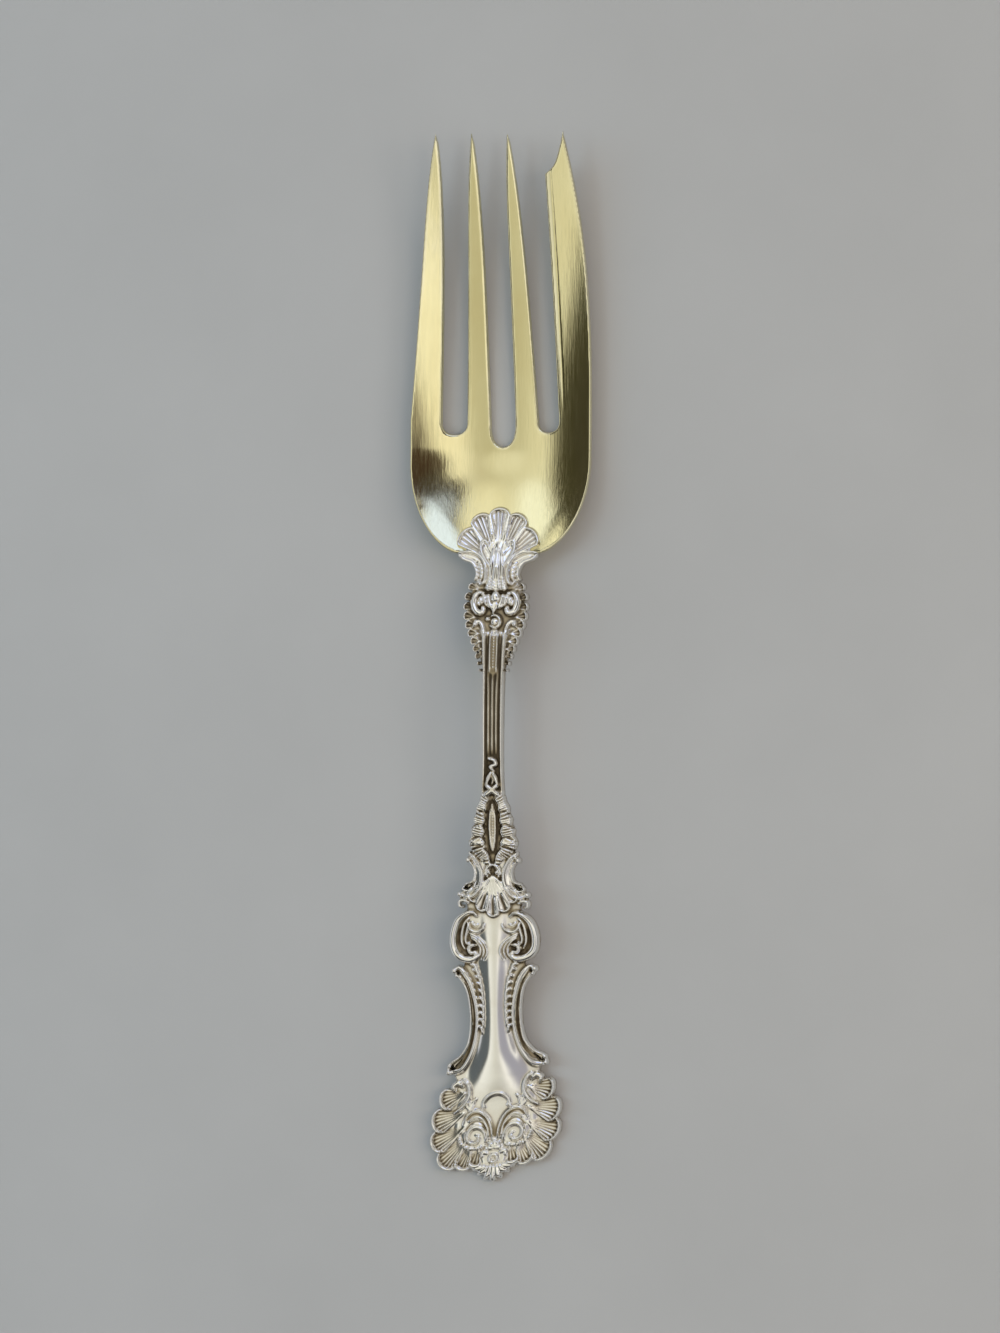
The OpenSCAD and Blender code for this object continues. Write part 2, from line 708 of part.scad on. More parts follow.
function in_boss(points) = all_in(points, boss_half, y_boss, boss_length);
module scrolled_bosses() {
    ridges(curve(in_boss([[0.46, 0.08], [0.6, 0], [0.82, 0.12], [0.96, 0.45], [0.88, 0.8], [0.68, 0.94],
                          [0.46, 0.9], [0.44, 0.75]]), 2),
           [0.35, 0.7, 0.75, 0.75, 0.6, 0.35], relief * 1.15, 0, true);
    ridges(curve(in_boss([[0.57, 0.24], [0.4, 0.38], [0.23, 0.26]]), 2),
           [0.2, 0.45, 0.2], relief * 0.7);
    ridges(curve(in_boss([[0.64, 0.32], [0.43, 0.47], [0.25, 0.62], [0.19, 0.79], [0.28, 0.94]]), 2),
           [0.25, 0.4, 0.2], relief * 0.6);
    ridges(curve(in_boss([[0.76, 0.24], [0.78, 0.5], [0.65, 0.6]]), 2),
           [0.25, 0.4, 0.25], relief * 0.8);
}

function in_waist(points) = all_in(points, waist_half, y_waist, waist_length);
module panel_scrolls() {
    ridges(curve(in_waist([[0.8, 0.035], [0.62, 0.07], [0.44, 0.22], [0.365, 0.43], [0.42, 0.62],
                           [0.57, 0.8], [0.84, 0.94], [0.98, 0.93]]), 2),
           [0.4, 0.6, 0.6, 0.6, 0.4], relief);
    ridges(curve(in_waist([[0.77, 0.07], [0.54, 0.24], [0.485, 0.43], [0.54, 0.63], [0.73, 0.79],
                           [0.98, 0.89]]), 2),
           [0.35, 0.45, 0.45, 0.35], relief * 0.6, 0, true);
    for (p = [[0.82, 0.075], [0.96, 0.915]])
        beads(in_waist([p])[0], 0.7, relief);
    ridges(curve(in_waist([[0.35, 0.03], [0.27, 0.18], [0.22, 0.34], [0.23, 0.48], [0.3, 0.62]]),
                 ceil(panel_leaves / 2)),
           [0.3, 0.5, 0.5, 0.3], relief * 0.6, panel_leaves);
}

terminal_centre = [0, between(y_terminal, y_end, 0.43)];
// Radius at which each lobe of the shell end has its rim, for an angle from straight down
function rim_radius(a) = terminal_half * (1 - 0.19 * pow((a - 78) / 45, 2));
module shell_wing(side) {
    spread = [for (k = [0 : 10]) between(22, 124, k / 10)];
    angles = [for (a = side < 0 ? spread : [for (k = [10 : -1 : 0]) spread[k]]) -90 + side * a];
    reach = [for (a = angles) rim_radius(abs(a + 90))];
    lobed(
        arc(terminal_centre, angles, [for (r = reach) r * 0.58]),
        arc(terminal_centre, angles, reach),
        terminal_lobes, relief * 1.25, 6);
}

function in_terminal(points) = all_in(points, terminal_half, y_terminal, terminal_length);

// Volute: an outer sweep and a spiral eye
spiral_turns = 1.25;
spiral_steps = 10;
module volutes() {
    ridges(curve(in_terminal([[0.05, 0.56], [0.07, 0.42], [0.26, 0.3], [0.48, 0.38], [0.49, 0.56]]), 2),
           [0.3, 0.5, 0.5, 0.3], relief * 0.85);
    eye = in_terminal([[0.3, 0.51]])[0];
    ridges([for (k = [0 : spiral_steps])
                let (a = 210 - 360 * spiral_turns * k / spiral_steps,
                     r = terminal_half * between(0.16, 0.03, k / spiral_steps))
                    eye + r * [cos(a), sin(a)]],
           [0.3, 0.5, 0.5], relief * 0.85);
}

module terminal() {
    shell_wing(1);
    shell_wing(-1);
    volutes();
    ridge(curve(in_terminal([[-0.2, 0.29], [-0.16, 0.2], [0, 0.15], [0.16, 0.2], [0.2, 0.29]]), 3),
          [0.35, 0.5, 0.5, 0.35], relief * 0.75);
    beads(in_terminal([[0.18, 0.3]])[0], 0.5, relief * 0.8);
    ridges(curve(in_terminal([[0.56, 0.56], [0.48, 0.65], [0.33, 0.69], [0.17, 0.65]]), 2),
           [0.3, 0.5, 0.3], relief * 0.7);
    for (side = [-1, 1])
        petal(in_terminal([[side * 0.52, 0.13]])[0], in_terminal([[side * 0.66, 0.04]])[0],
              0.6, 1, relief);
    rosette();
}

// Small flower at the very end: petals about a bead
rosette_petals = 6;
module rosette() {
    heart = in_terminal([[0, 0.79]])[0];
    reach = terminal_length * 0.13;
    bead(heart, 1.1, relief * 1.1);
    for (k = [0 : rosette_petals - 1]) {
        way = [cos(30 + 360 * k / rosette_petals), sin(30 + 360 * k / rosette_petals)];
        petal(heart + way * reach * 0.5, heart + way * reach, 0.5, 0.75, relief * 0.8);
    }
    for (x = [-0.4, 0.4])
        petal(heart + [x * reach * 1.4, -reach], heart + [x * reach * 0.8, y_end + 0.9 - heart[1]],
              0.8, 0.7, relief * 0.6);
}

module handle() {
    color(silver)
        difference() {
            union() {
                core();
                drop();
                heel_shell();
                neck_scallops();
                neck_scrolls();
                stem_rails();
                crossed_ribbons();
                small_fan();
                scrolled_bosses();
                panel_scrolls();
                terminal();
            }
            blank(solder_gap);
            tongue(solder_gap);
            below_table();
        }
}

// Solder film that fills the socket round the tongue
module solder_seam() {
    color(solder)
        difference() {
            tongue(solder_gap);
            tongue();
        }
}

fork_head();
handle();
solder_seam();
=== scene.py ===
"""Looks of a gilt-headed silver serving fork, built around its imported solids.

Lengths are in millimetres in a plan view, with x across the fork and y along it towards the tines,
and become metres when a mesh is made.
"""

import math

import bpy
import numpy as np
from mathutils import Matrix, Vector, geometry


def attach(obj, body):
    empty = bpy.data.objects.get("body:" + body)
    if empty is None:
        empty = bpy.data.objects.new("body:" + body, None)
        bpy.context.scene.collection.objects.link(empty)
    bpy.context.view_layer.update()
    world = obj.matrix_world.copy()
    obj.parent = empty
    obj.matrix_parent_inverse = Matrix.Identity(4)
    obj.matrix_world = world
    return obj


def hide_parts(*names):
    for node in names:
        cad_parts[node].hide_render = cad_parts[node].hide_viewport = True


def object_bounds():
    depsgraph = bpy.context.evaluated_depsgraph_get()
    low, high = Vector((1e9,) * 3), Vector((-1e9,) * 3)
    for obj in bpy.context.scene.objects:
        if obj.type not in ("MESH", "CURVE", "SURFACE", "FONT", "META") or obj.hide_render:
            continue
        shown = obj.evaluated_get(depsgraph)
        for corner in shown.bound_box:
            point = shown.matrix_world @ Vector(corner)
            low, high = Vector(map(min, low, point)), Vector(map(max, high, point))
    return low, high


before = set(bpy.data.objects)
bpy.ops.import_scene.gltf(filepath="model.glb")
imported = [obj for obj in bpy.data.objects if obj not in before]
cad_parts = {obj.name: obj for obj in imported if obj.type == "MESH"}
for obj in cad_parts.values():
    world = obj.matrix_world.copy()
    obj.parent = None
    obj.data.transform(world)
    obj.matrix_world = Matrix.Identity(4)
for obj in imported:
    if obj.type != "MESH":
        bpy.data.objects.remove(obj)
cad_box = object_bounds()

MM = 0.001

# Sizes along the fork

TINE_LENGTH = 62.3
PALM_LENGTH = 29.2
HEEL_LENGTH = 2.8
NECK_LENGTH = 23.0
STEM_LENGTH = 19.0
RIBBON_LENGTH = 25.5
FAN_LENGTH = 7.0
BOSS_LENGTH = 11.7
WAIST_LENGTH = 25.3
TERMINAL_LENGTH = 22.8

Y_TIP = cad_box[1].y / MM
Y_ROOT = Y_TIP - TINE_LENGTH
Y_HEEL = Y_ROOT - PALM_LENGTH
Y_NECK = Y_HEEL - HEEL_LENGTH
Y_STEM = Y_NECK - NECK_LENGTH
Y_RIBBON = Y_STEM - STEM_LENGTH
Y_FAN = Y_RIBBON - RIBBON_LENGTH
Y_BOSS = Y_FAN - FAN_LENGTH
Y_WAIST = Y_BOSS - BOSS_LENGTH
Y_TERMINAL = Y_WAIST - WAIST_LENGTH
Y_END = Y_TERMINAL - TERMINAL_LENGTH
Y_BOWL = Y_HEEL + 0.8 * PALM_LENGTH

# Sizes across and through the fork

HEAD_HALF = 20.1
PLATE_THICKNESS = 2.0
TIP_THICKNESS = 0.9
BOWL_DEPTH = 3.6
TIP_RISE = 7.2
HEEL_RISE = 4.6
CREST_HEIGHT = 11.0
WEAR_DEPTH = 0.15
NECK_HALF = 7.0
STEM_HALF = 2.45
RIBBON_HALF = 5.5
FAN_HALF = 7.5
BOSS_HALF = 9.7
WAIST_HALF = 10.9
TERMINAL_HALF = 14.4
SHELL_RADIUS = 11.2
NECK_THICKNESS = 3.6
STEM_THICKNESS = 3.2
PANEL_THICKNESS = 2.3
END_THICKNESS = 1.8
TERMINAL_TURN = math.radians(8)
TONGUE_HALF = 3.0
TONGUE_LENGTH = 12.0
TONGUE_THICKNESS = 1.3

# Curves


def between(a, b, t):
    return a + (b - a) * t


def smooth_step(x, low, high):
    t = np.clip((x - low) / (high - low), 0, 1)
    return t * t * (3 - 2 * t)


def run_out(x, soft):
    """x where it is above 0, and 0 below, with a round bend of that reach between them."""
    return np.where(x > soft, x, np.clip(x + soft, 0, None) ** 2 / (4 * soft))


def rounded(x):
    """Height of a quarter round: 0 up to x = 0, and 1 from x = 1 on."""
    return np.sqrt(1 - (1 - np.clip(x, 0, 1)) ** 2)


def dome(x):
    """Height of a half round: 1 at x = 0, and 0 from 1 on to either side."""
    return np.sqrt(np.clip(1 - x**2, 0, 1))


def wave(turns):
    """A cosine between 0 and 1."""
    return 0.5 + 0.5 * np.cos(2 * math.pi * turns)


def curve(points, steps=8):
    """A smooth line through plan points, with the same number of steps between neighbours."""
    p = np.asarray(points, float)
    p = np.vstack([p[:1], p, p[-1:]])
    t = np.arange(steps)[:, None] / steps
    spans = []
    for a, b, c, d in zip(p[:-3], p[1:-2], p[2:-1], p[3:]):
        spans.append(0.5 * (2 * b + (c - a) * t + (2 * a - 5 * b + 4 * c - d) * t**2
                            + (3 * b - a - 3 * c + d) * t**3))
    return np.vstack(spans + [p[-1:]])


def part_way(path, share):
    """The point at a share of a path's length."""
    lengths = np.concatenate([[0], np.cumsum(np.hypot(*np.diff(path, axis=0).T))])
    return np.array([np.interp(share * lengths[-1], lengths, axis) for axis in path.T])


def along(table, x):
    """Values at x of a smooth curve through a table of (x, value), which never overshoots."""
    k, v = np.array(table, float).T
    secant = np.diff(v) / np.diff(k)
    a, b = secant[:-1], secant[1:]
    turning = a * b <= 0
    inner = np.where(turning, 0, 2 * a * b / np.where(turning, 1, a + b))
    slope = np.concatenate([secant[:1], inner, secant[-1:]])
    x = np.clip(x, k[0], k[-1])
    i = np.clip(np.searchsorted(k, x, side="right") - 1, 0, len(k) - 2)
    span = k[i + 1] - k[i]
    t = (x - k[i]) / span
    return (v[i] * (1 + 2 * t) * (1 - t) ** 2 + slope[i] * span * t * (1 - t) ** 2
            + v[i + 1] * t * t * (3 - 2 * t) - slope[i + 1] * span * t * t * (1 - t))


# Least square of a step's length, so that none is divided by nothing
NO_LENGTH = 1e-9


def to_path(path, x, y):
    """Distance of points to a path, share of the way along it, and side of it."""
    best = np.full(x.shape, np.inf)
    share = np.zeros(x.shape)
    side = np.zeros(x.shape)
    steps = np.diff(path, axis=0)
    lengths = np.hypot(*steps.T)
    starts = np.concatenate([[0], np.cumsum(lengths)])
    for p, s, length, start in zip(path[:-1], steps, lengths, starts):
        dx, dy = x - p[0], y - p[1]
        t = np.clip((dx * s[0] + dy * s[1]) / max(length**2, NO_LENGTH), 0, 1)
        d = np.hypot(dx - t * s[0], dy - t * s[1])
        closer = d < best
        best = np.where(closer, d, best)
        share = np.where(closer, (start + t * length) / starts[-1], share)
        side = np.where(closer, np.sign(s[0] * dy - s[1] * dx), side)
    return best, share, side


def within_polygon(polygon, x, y):
    """Signed distance to a closed outline, above 0 inside."""
    closed = np.vstack([polygon, polygon[:1]])
    odd = np.zeros(x.shape, bool)
    for p, q in zip(closed[:-1], closed[1:]):
        if p[1] != q[1]:
            crosses = (p[1] > y) != (q[1] > y)
            odd ^= crosses & (x < p[0] + (y - p[1]) * (q[0] - p[0]) / (q[1] - p[1]))
    return np.where(odd, 1, -1) * to_path(closed, x, y)[0]


# Side profile, as in the solids

BOWL_HEIGHT = PLATE_THICKNESS / 2 - WEAR_DEPTH
END_HEIGHT = END_THICKNESS / 2 - WEAR_DEPTH

SPINE = [
    (Y_END, END_HEIGHT),
    (Y_END + TERMINAL_LENGTH * 0.4, END_HEIGHT + WEAR_DEPTH),
    (Y_WAIST, between(END_HEIGHT, CREST_HEIGHT, 0.6)),
    (between(Y_STEM, Y_RIBBON, 0.5), CREST_HEIGHT),
    (Y_HEEL, BOWL_HEIGHT + HEEL_RISE),
    (Y_BOWL, BOWL_HEIGHT),
    (between(Y_ROOT, Y_TIP, 0.45), BOWL_HEIGHT + TIP_RISE * 0.25),
    (Y_TIP, BOWL_HEIGHT + TIP_RISE),
]
PLATE = [
    (Y_HEEL, PLATE_THICKNESS),
    (between(Y_ROOT, Y_TIP, 0.6), PLATE_THICKNESS),
    (Y_TIP, TIP_THICKNESS),
]
DISH = [
    (Y_HEEL, BOWL_DEPTH * 0.7),
    (Y_BOWL, BOWL_DEPTH),
    (between(Y_ROOT, Y_TIP, 0.4), BOWL_DEPTH * 0.75),
    (Y_TIP, BOWL_DEPTH * 0.4),
]
THICKNESS = [
    (Y_END, END_THICKNESS),
    (Y_TERMINAL, between(END_THICKNESS, PANEL_THICKNESS, 0.8)),
    (between(Y_WAIST, Y_TERMINAL, 0.5), PANEL_THICKNESS),
    (Y_FAN, between(PANEL_THICKNESS, STEM_THICKNESS, 0.7)),
    (between(Y_STEM, Y_RIBBON, 0.5), STEM_THICKNESS),
    (between(Y_NECK, Y_STEM, 0.4), NECK_THICKNESS),
    (Y_HEEL, NECK_THICKNESS),
]
# Half width of the plain plate that carries the ornament, by stretches: where one starts and ends, a half
# width, and pairs of a share of the stretch and a share of that half width
CORE_END = Y_HEEL + SHELL_RADIUS * 0.3
CORE_STRETCHES = (
    (Y_END, Y_TERMINAL, TERMINAL_HALF,
     ((0, 0.05), (0.08, 0.2), (0.15, 0.42), (0.25, 0.7),
      (0.42, 0.86), (0.6, 0.84), (0.82, 0.68), (0.97, 0.63))),
    (Y_TERMINAL, Y_WAIST, WAIST_HALF,
     ((0.08, 0.9), (0.2, 0.72), (0.38, 0.54), (0.58, 0.48), (0.8, 0.56), (0.93, 0.74))),
    (Y_WAIST, Y_BOSS, BOSS_HALF, ((0, 0.7), (0.15, 0.83), (0.5, 0.93), (0.85, 0.78))),
    (Y_BOSS, Y_FAN, FAN_HALF, ((0, 0.8), (0.4, 0.86), (0.78, 0.65))),
    (Y_FAN, Y_RIBBON, FAN_HALF, ((0.04, 0.5),)),
    (Y_FAN, Y_RIBBON, RIBBON_HALF, ((0.2, 0.86), (0.4, 0.74))),
    (Y_FAN, Y_RIBBON, STEM_HALF, ((0.65, 1.1), (1, 0.96))),
    (Y_STEM, Y_NECK, STEM_HALF, ((0, 1.02),)),
    (Y_STEM, Y_NECK, NECK_HALF, ((0.22, 0.54), (0.4, 0.76), (0.59, 0.9), (0.78, 0.8), (0.93, 0.63))),
    (Y_HEEL, CORE_END, NECK_HALF, ((0, 0.62), (1, 0.5))),
)
CORE = [(between(start, end, share), half * part)
        for start, end, half, places in CORE_STRETCHES for share, part in places]
# Share of its half thickness by which the handle's face falls away to its sides
CROWN = 0.25
# Share of its thickness by which the handle's rim lies below its middle
RIM_DROP = 0.1
# Swelling along the middle of the plain panel: its height, half width, and how softly its sides run out
SWELL = [(-97, 0.1), (-91, 0.9), (-85, 1.35), (-78, 1.2), (-70, 0.85), (-63, 0.6), (-57, 0.3), (-50, 0)]
SWELL_HALF = [(-97, 7.5), (-90, 6.2), (-85, 4.8), (-78, 3.8), (-70, 3.4), (-57, 3.0)]
SWELL_SOFTNESS = 0.35

# Round shoulders of the head, and how far the bowl's edge curls up along them
SHOULDER_TOP = between(Y_ROOT, Y_HEEL, 0.3)
SHOULDER_LENGTH = PALM_LENGTH * 0.7
CURL_HEIGHT = 0.38
CURL_START = 0.82
CURL_SPAN = 0.26
# Where the curl fades in, away from the middle line and below the top of the shoulders
CURL_ASIDE = (5, 10)
CURL_BELOW = (3, 10)


def heel_curl(x, y):
    below = np.clip(SHOULDER_TOP - y, 0, SHOULDER_LENGTH)
    reach = np.hypot(x / HEAD_HALF, below / SHOULDER_LENGTH)
    rise = CURL_HEIGHT * np.clip((reach - CURL_START) / CURL_SPAN, 0, 1) ** 2
    return rise * smooth_step(np.abs(x), *CURL_ASIDE) * smooth_step(below, *CURL_BELOW)


def head_middle(x, y):
    return along(SPINE, y) + along(DISH, y) * (x / HEAD_HALF) ** 2 + heel_curl(x, y)


def head_top(x, y):
    return head_middle(x, y) + along(PLATE, y) / 2


# How far the shell's seat on the bowl reaches back into the neck, and where it is fully on the bowl
SEAT_START = Y_HEEL - 2.5
SEAT_END = Y_HEEL + 3.0


def on_bowl(y):
    return smooth_step(y, SEAT_START, SEAT_END)


def handle_face(u, v):
    """Height of the handle's plain face: crowned on the handle, and the bowl's own face under the shell."""
    lean = np.clip(np.abs(u) / np.maximum(along(CORE, v), 1), 0, 1)
    own = along(SPINE, v) + along(THICKNESS, v) / 2 * (1 - CROWN * lean**2)
    own = own + along(SWELL, v) * run_out(1 - (u / along(SWELL_HALF, v)) ** 2, SWELL_SOFTNESS)
    return between(own, head_top(u, v), on_bowl(v))


def handle_rim(u, v):
    own = along(SPINE, v) - RIM_DROP * along(THICKNESS, v)
    return between(own, head_top(u, v), on_bowl(v))


# Rounded drop under the heel, which backs the bowl
DROP_END = Y_HEEL + SHELL_RADIUS * 0.7
DROP_RISE = 2.5
# Half width of the drop at its start and end, as shares of the neck's
DROP_HALF = (0.6, 0.14)


def handle_back(u, v):
    own = along(SPINE, v) - along(THICKNESS, v) / 2
    back = between(own, head_top(u, v), on_bowl(v))
    t = np.clip((v - Y_NECK) / (DROP_END - Y_NECK), 0, 1)
    half = NECK_HALF * between(*DROP_HALF, t**1.5)
    deep = between(NECK_THICKNESS - PLATE_THICKNESS, 0, t) * smooth_step(v, Y_NECK, Y_NECK + DROP_RISE)
    under = head_top(u, v) - along(PLATE, v) - deep * dome(u / half)
    on_drop = (v > Y_NECK) & (v < DROP_END) & (np.abs(u) < half)
    return np.where(on_drop, np.minimum(back, under), back)


# Share of the turn by which the shell end also leans aside
TERMINAL_LEAN = 0.4


def unturned(x, y):
    """Place on the straight handle of a point on the real one, whose shell end is a little turned."""
    u, v = x.copy(), y.copy()
    for _ in range(5):
        share = np.clip((Y_BOSS - v) / (Y_BOSS - Y_TERMINAL), 0, 1)
        turn = np.sin(TERMINAL_TURN * share)
        u = x - np.where(v < Y_TERMINAL, TERMINAL_LEAN * turn * (v - Y_TERMINAL), 0)
        v = y - u * turn
    return u, v


# Relief


class Relief:
    """Struck ornament over a plan grid: its height, the stain that gathers in it, and how far each point
    lies inside the handle's outline. Forms are given by plan points on the straight handle. Most are given
    on its right side, and stand on both."""

    # How far raised forms reach down into the ground
    FOOT = -0.12
    # Room round a form, because the shell end is turned
    ROOM = 2.6
    OUTSIDE = -9.0
    STAIN_EDGE = 0.6
    SINK_WALL = 0.5
    # Share of a ridge over which each end falls away, and the bend of its round section
    RIDGE_END = 0.1
    RIDGE_BEND = 0.6
    # Uneven places of folds: how far they shift, how often along the ridge, and where that starts
    FOLD_SHIFTS = ((0.6, 11, 0), (0.35, 29, 1))
    # Depth of the broad folds, as a share of the fine ones' depth, and how many fine ones each takes up
    BROAD_DEPTH = 0.3
    BROAD_FOLD = 4
    # Lobes: rise of their sides, depth of flutes, and shares of the way over which flutes and scoop begin
    LOBE_DISH = 0.18
    FLUTE_DEPTH = 0.24
    FLUTE_RUN = 0.25
    SCOOP_RUN = 0.45
    # Where a lobe's rim starts along the lobe, and where a rim without sides ends across it
    RIM_START = (0.25, 0.6)
    RIM_END = (0.62, 0.95)

    def __init__(self, xs, ys):
        self.xs = xs
        self.ys = ys
        x, y = np.meshgrid(xs, ys)
        self.u, self.v = unturned(x, y)
        self.height = np.zeros_like(x)
        self.tint = np.zeros_like(x)
        on_core = (self.v > Y_END) & (self.v < CORE_END)
        self.inside = np.where(on_core, along(CORE, self.v) - np.abs(self.u), self.OUTSIDE)

    def part(self, points, reach, both):
        """The part of the grid that holds plan points with room round them, and its places."""
        p = np.asarray(points, float)
        room = reach + self.ROOM
        (left, low), (right, high) = p.min(axis=0) - room, p.max(axis=0) + room
        if both:
            right = np.abs(p[:, 0]).max() + room
            left = -right
        rows = slice(*np.searchsorted(self.ys, [low, high]))
        columns = slice(*np.searchsorted(self.xs, [left, right]))
        part = (rows, columns)
        u, v = self.u[part], self.v[part]
        return part, np.abs(u) if both else u, v

    def within(self, polygon, both=True):
        """The part of the grid round a plan outline, and how far its points lie inside that."""
        polygon = np.asarray(polygon, float)
        part, u, v = self.part(polygon, 0, both)
        return part, within_polygon(polygon, u, v)

    def raise_to(self, part, where, z):
        h = self.height[part]
        h[where] = np.maximum(h[where], z[where])

    def darken(self, part, amount):
        self.tint[part] = np.maximum(self.tint[part], amount)

    def reach_out(self, part, within):
        self.inside[part] = np.maximum(self.inside[part], within)

    def stain(self, polygon, amount):
        """Lets tarnish gather inside a plan outline."""
        part, within = self.within(polygon)
        self.darken(part, amount * smooth_step(within, 0, self.STAIN_EDGE))

    def sink(self, polygon, depth):
        """Lowers the ground inside a plan outline, with soft walls."""
        part, within = self.within(polygon)
        self.height[part] -= depth * smooth_step(within, 0, self.SINK_WALL)

    def plate(self, polygon):
        """Widens the plain plate to a plan outline."""
        self.reach_out(*self.within(polygon))

    def mound(self, polygon, height, wall, both=True):
        """Raises a plan outline to a height, with round walls."""
        part, within = self.within(polygon, both)
        self.raise_to(part, within > 0, height * rounded(within / wall))

    def groove(self, points, half, depth, both=True, stain=0):
        """Rounded groove along a smooth path."""
        path = curve(points)
        part, u, v = self.part(path, half, both)
        hollow = np.clip(1 - (to_path(path, u, v)[0] / half) ** 2, 0, 1)
        self.height[part] -= depth * hollow
        self.darken(part, stain * hollow)

    def ridge(self, points, widths, height, folds=0, depth=0.5, flat=2, slant=0, edge=False, both=True,
              ends=0.55, on_top=False, stain=(0, 0)):
        """Rounded ridge along a smooth path. Widths are half widths along it, and folds cross it.
        On top, it is a soft swelling of what is there already. An edge widens the plate to the ridge."""
        path = curve(points)
        part, u, v = self.part(path, max(widths), both)
        d, t, side = to_path(path, u, v)
        half = np.interp(t, np.linspace(0, 1, len(widths)), widths)
        q = d / half
        lift = height * np.interp(t, [0, self.RIDGE_END, 1 - self.RIDGE_END, 1], [ends, 1, 1, ends])
        valley = 0
        if folds:
            lean = slant * side * q
            uneven = sum(shift * np.sin(often * t + start) for shift, often, start in self.FOLD_SHIFTS)
            valley = wave(folds * t + uneven + lean) ** 2
            broad = wave(folds / self.BROAD_FOLD * t + lean)
            lift = lift * (1 - depth * valley) * (1 - self.BROAD_DEPTH * depth * broad)
        if on_top:
            self.height[part] += lift * np.clip(1 - q**2, 0, 1) ** 2
            return
        section = np.clip(1 - q**flat, 0, 1) ** self.RIDGE_BEND
        self.raise_to(part, q < 1, between(self.FOOT, lift, section))
        if any(stain):
            self.darken(part, (stain[0] + stain[1] * valley) * smooth_step(1 - q, 0, 0.3))
        if edge:
            self.reach_out(part, half - d)

    def ridges(self, rows, **settings):
        """Ridges alike, from rows of points, widths and height."""
        for points, widths, height in rows:
            self.ridge(points, widths, height, **settings)

    def bead(self, centre, radius, height, edge=False, both=True):
        part, u, v = self.part([centre], radius, both)
        d = np.hypot(u - centre[0], v - centre[1])
        self.raise_to(part, d < radius, between(self.FOOT, height, dome(d / radius)))
        if edge:
            self.reach_out(part, radius - d)

    def ring(self, centre, radius, half, height):
        part, u, v = self.part([centre], radius + half, False)
        q = np.abs(np.hypot(u - centre[0], v - centre[1]) - radius) / half
        self.raise_to(part, q < 1, between(self.FOOT, height, dome(q)))

    def lobe(self, root, tip, spread, height, flutes, scoop, rim, both=True, edge=True, cap=0.32, hub=0.8,
             start=0.4, sides=True, tilt=0, stain=(0, 0)):
        """One fluted lobe of a shell: a sector from its root with a round end, a rim and flutes. The rim
        runs down its sides too, unless it has no sides. A tilt lifts one side over its neighbour."""
        root, tip = np.array(root, float), np.array(tip, float)
        length = np.hypot(*(tip - root))
        ax, ay = (tip - root) / length
        half_angle = math.radians(spread)
        part, u, v = self.part([root, tip], length * math.sin(half_angle), both)
        du, dv = u - root[0], v - root[1]
        r = np.hypot(du, dv)
        a = np.arctan2(dv * ax - du * ay, du * ax + dv * ay) / half_angle
        q = r / (length * (1 - cap * (1 - dome(a))))
        end = (1 - q) * length
        aside = (1 - np.abs(a)) * r * half_angle
        within = np.minimum(end, aside)
        groove = wave(flutes * (a + 1) / 2) ** 2 * smooth_step(q, start, start + self.FLUTE_RUN)
        body = between(hub, scoop, smooth_step(q, start, start + self.SCOOP_RUN))
        body = body + self.LOBE_DISH * a**2 - self.FLUTE_DEPTH * groove + tilt * a
        from_rim = within if sides else end
        lip = dome((from_rim - rim) / rim) * smooth_step(q, *self.RIM_START)
        if not sides:
            lip *= 1 - smooth_step(np.abs(a), *self.RIM_END)
        self.raise_to(part, within > 0, height * np.maximum(body * rounded(within / rim), lip))
        if any(stain):
            ground = smooth_step(from_rim, rim, 2.2 * rim) * smooth_step(q, start, start + 0.2)
            self.darken(part, (stain[0] + stain[1] * groove) * ground * (aside > 0))
        if edge:
            self.reach_out(part, within)


def blurred(field, steps):
    """The field with each point averaged over its neighbours, with a bell-shaped weight."""
    reach = int(3 * steps)
    weight = np.exp(-0.5 * (np.arange(-reach, reach + 1) / steps) ** 2)
    weight /= weight.sum()
    for axis in (0, 1):
        padded = np.pad(field, [(reach, reach) if k == axis else (0, 0) for k in (0, 1)], mode="edge")
        n = field.shape[axis]
        shifted = (np.take(padded, range(k, k + n), axis) for k in range(len(weight)))
        field = sum(w * s for w, s in zip(weight, shifted))
    return field


# Meshes

# Least distance of grid points from the outline, as a share of the depth that they are moved to
OUTLINE_GAP = 0.3
# Least square of the slope that they are moved along
LEAST_STEEP = 0.25
# Triangulation inside the outline only, and the distance within which its points are one
INSIDE_ONLY = 2
SAME_POINT = 1e-6


def marched(inside, height):
    """Triangles of a plan grid, whole ones and those that the outline cuts. Diagonals follow the relief."""
    rows, columns = inside.shape
    index = np.arange(rows * columns).reshape(rows, columns)
    a, b, c, d = (s.ravel() for s in (index[:-1, :-1], index[:-1, 1:], index[1:, 1:], index[1:, :-1]))
    h = height.ravel()
    odd = np.abs(h[a] - h[c]) > np.abs(h[b] - h[d])
    triangles = np.vstack([
        np.column_stack([a, b, np.where(odd, d, c)]),
        np.column_stack([np.where(odd, b, a), c, d]),
    ])
    f = inside.ravel()
    count = (f[triangles] > 0).sum(axis=1)
    whole = triangles[count == 3]
    cut_edges = []
    for wanted in (1, 2):
        mixed = triangles[count == wanted]
        lone_is_in = wanted == 1
        lone = np.argmax((f[mixed] > 0) == lone_is_in, axis=1)
        turn = (lone[:, None] + np.arange(3)) % 3
        p, q, r = np.take_along_axis(mixed, turn, axis=1).T
        cut_edges.append((p, q, r))
    return whole, cut_edges


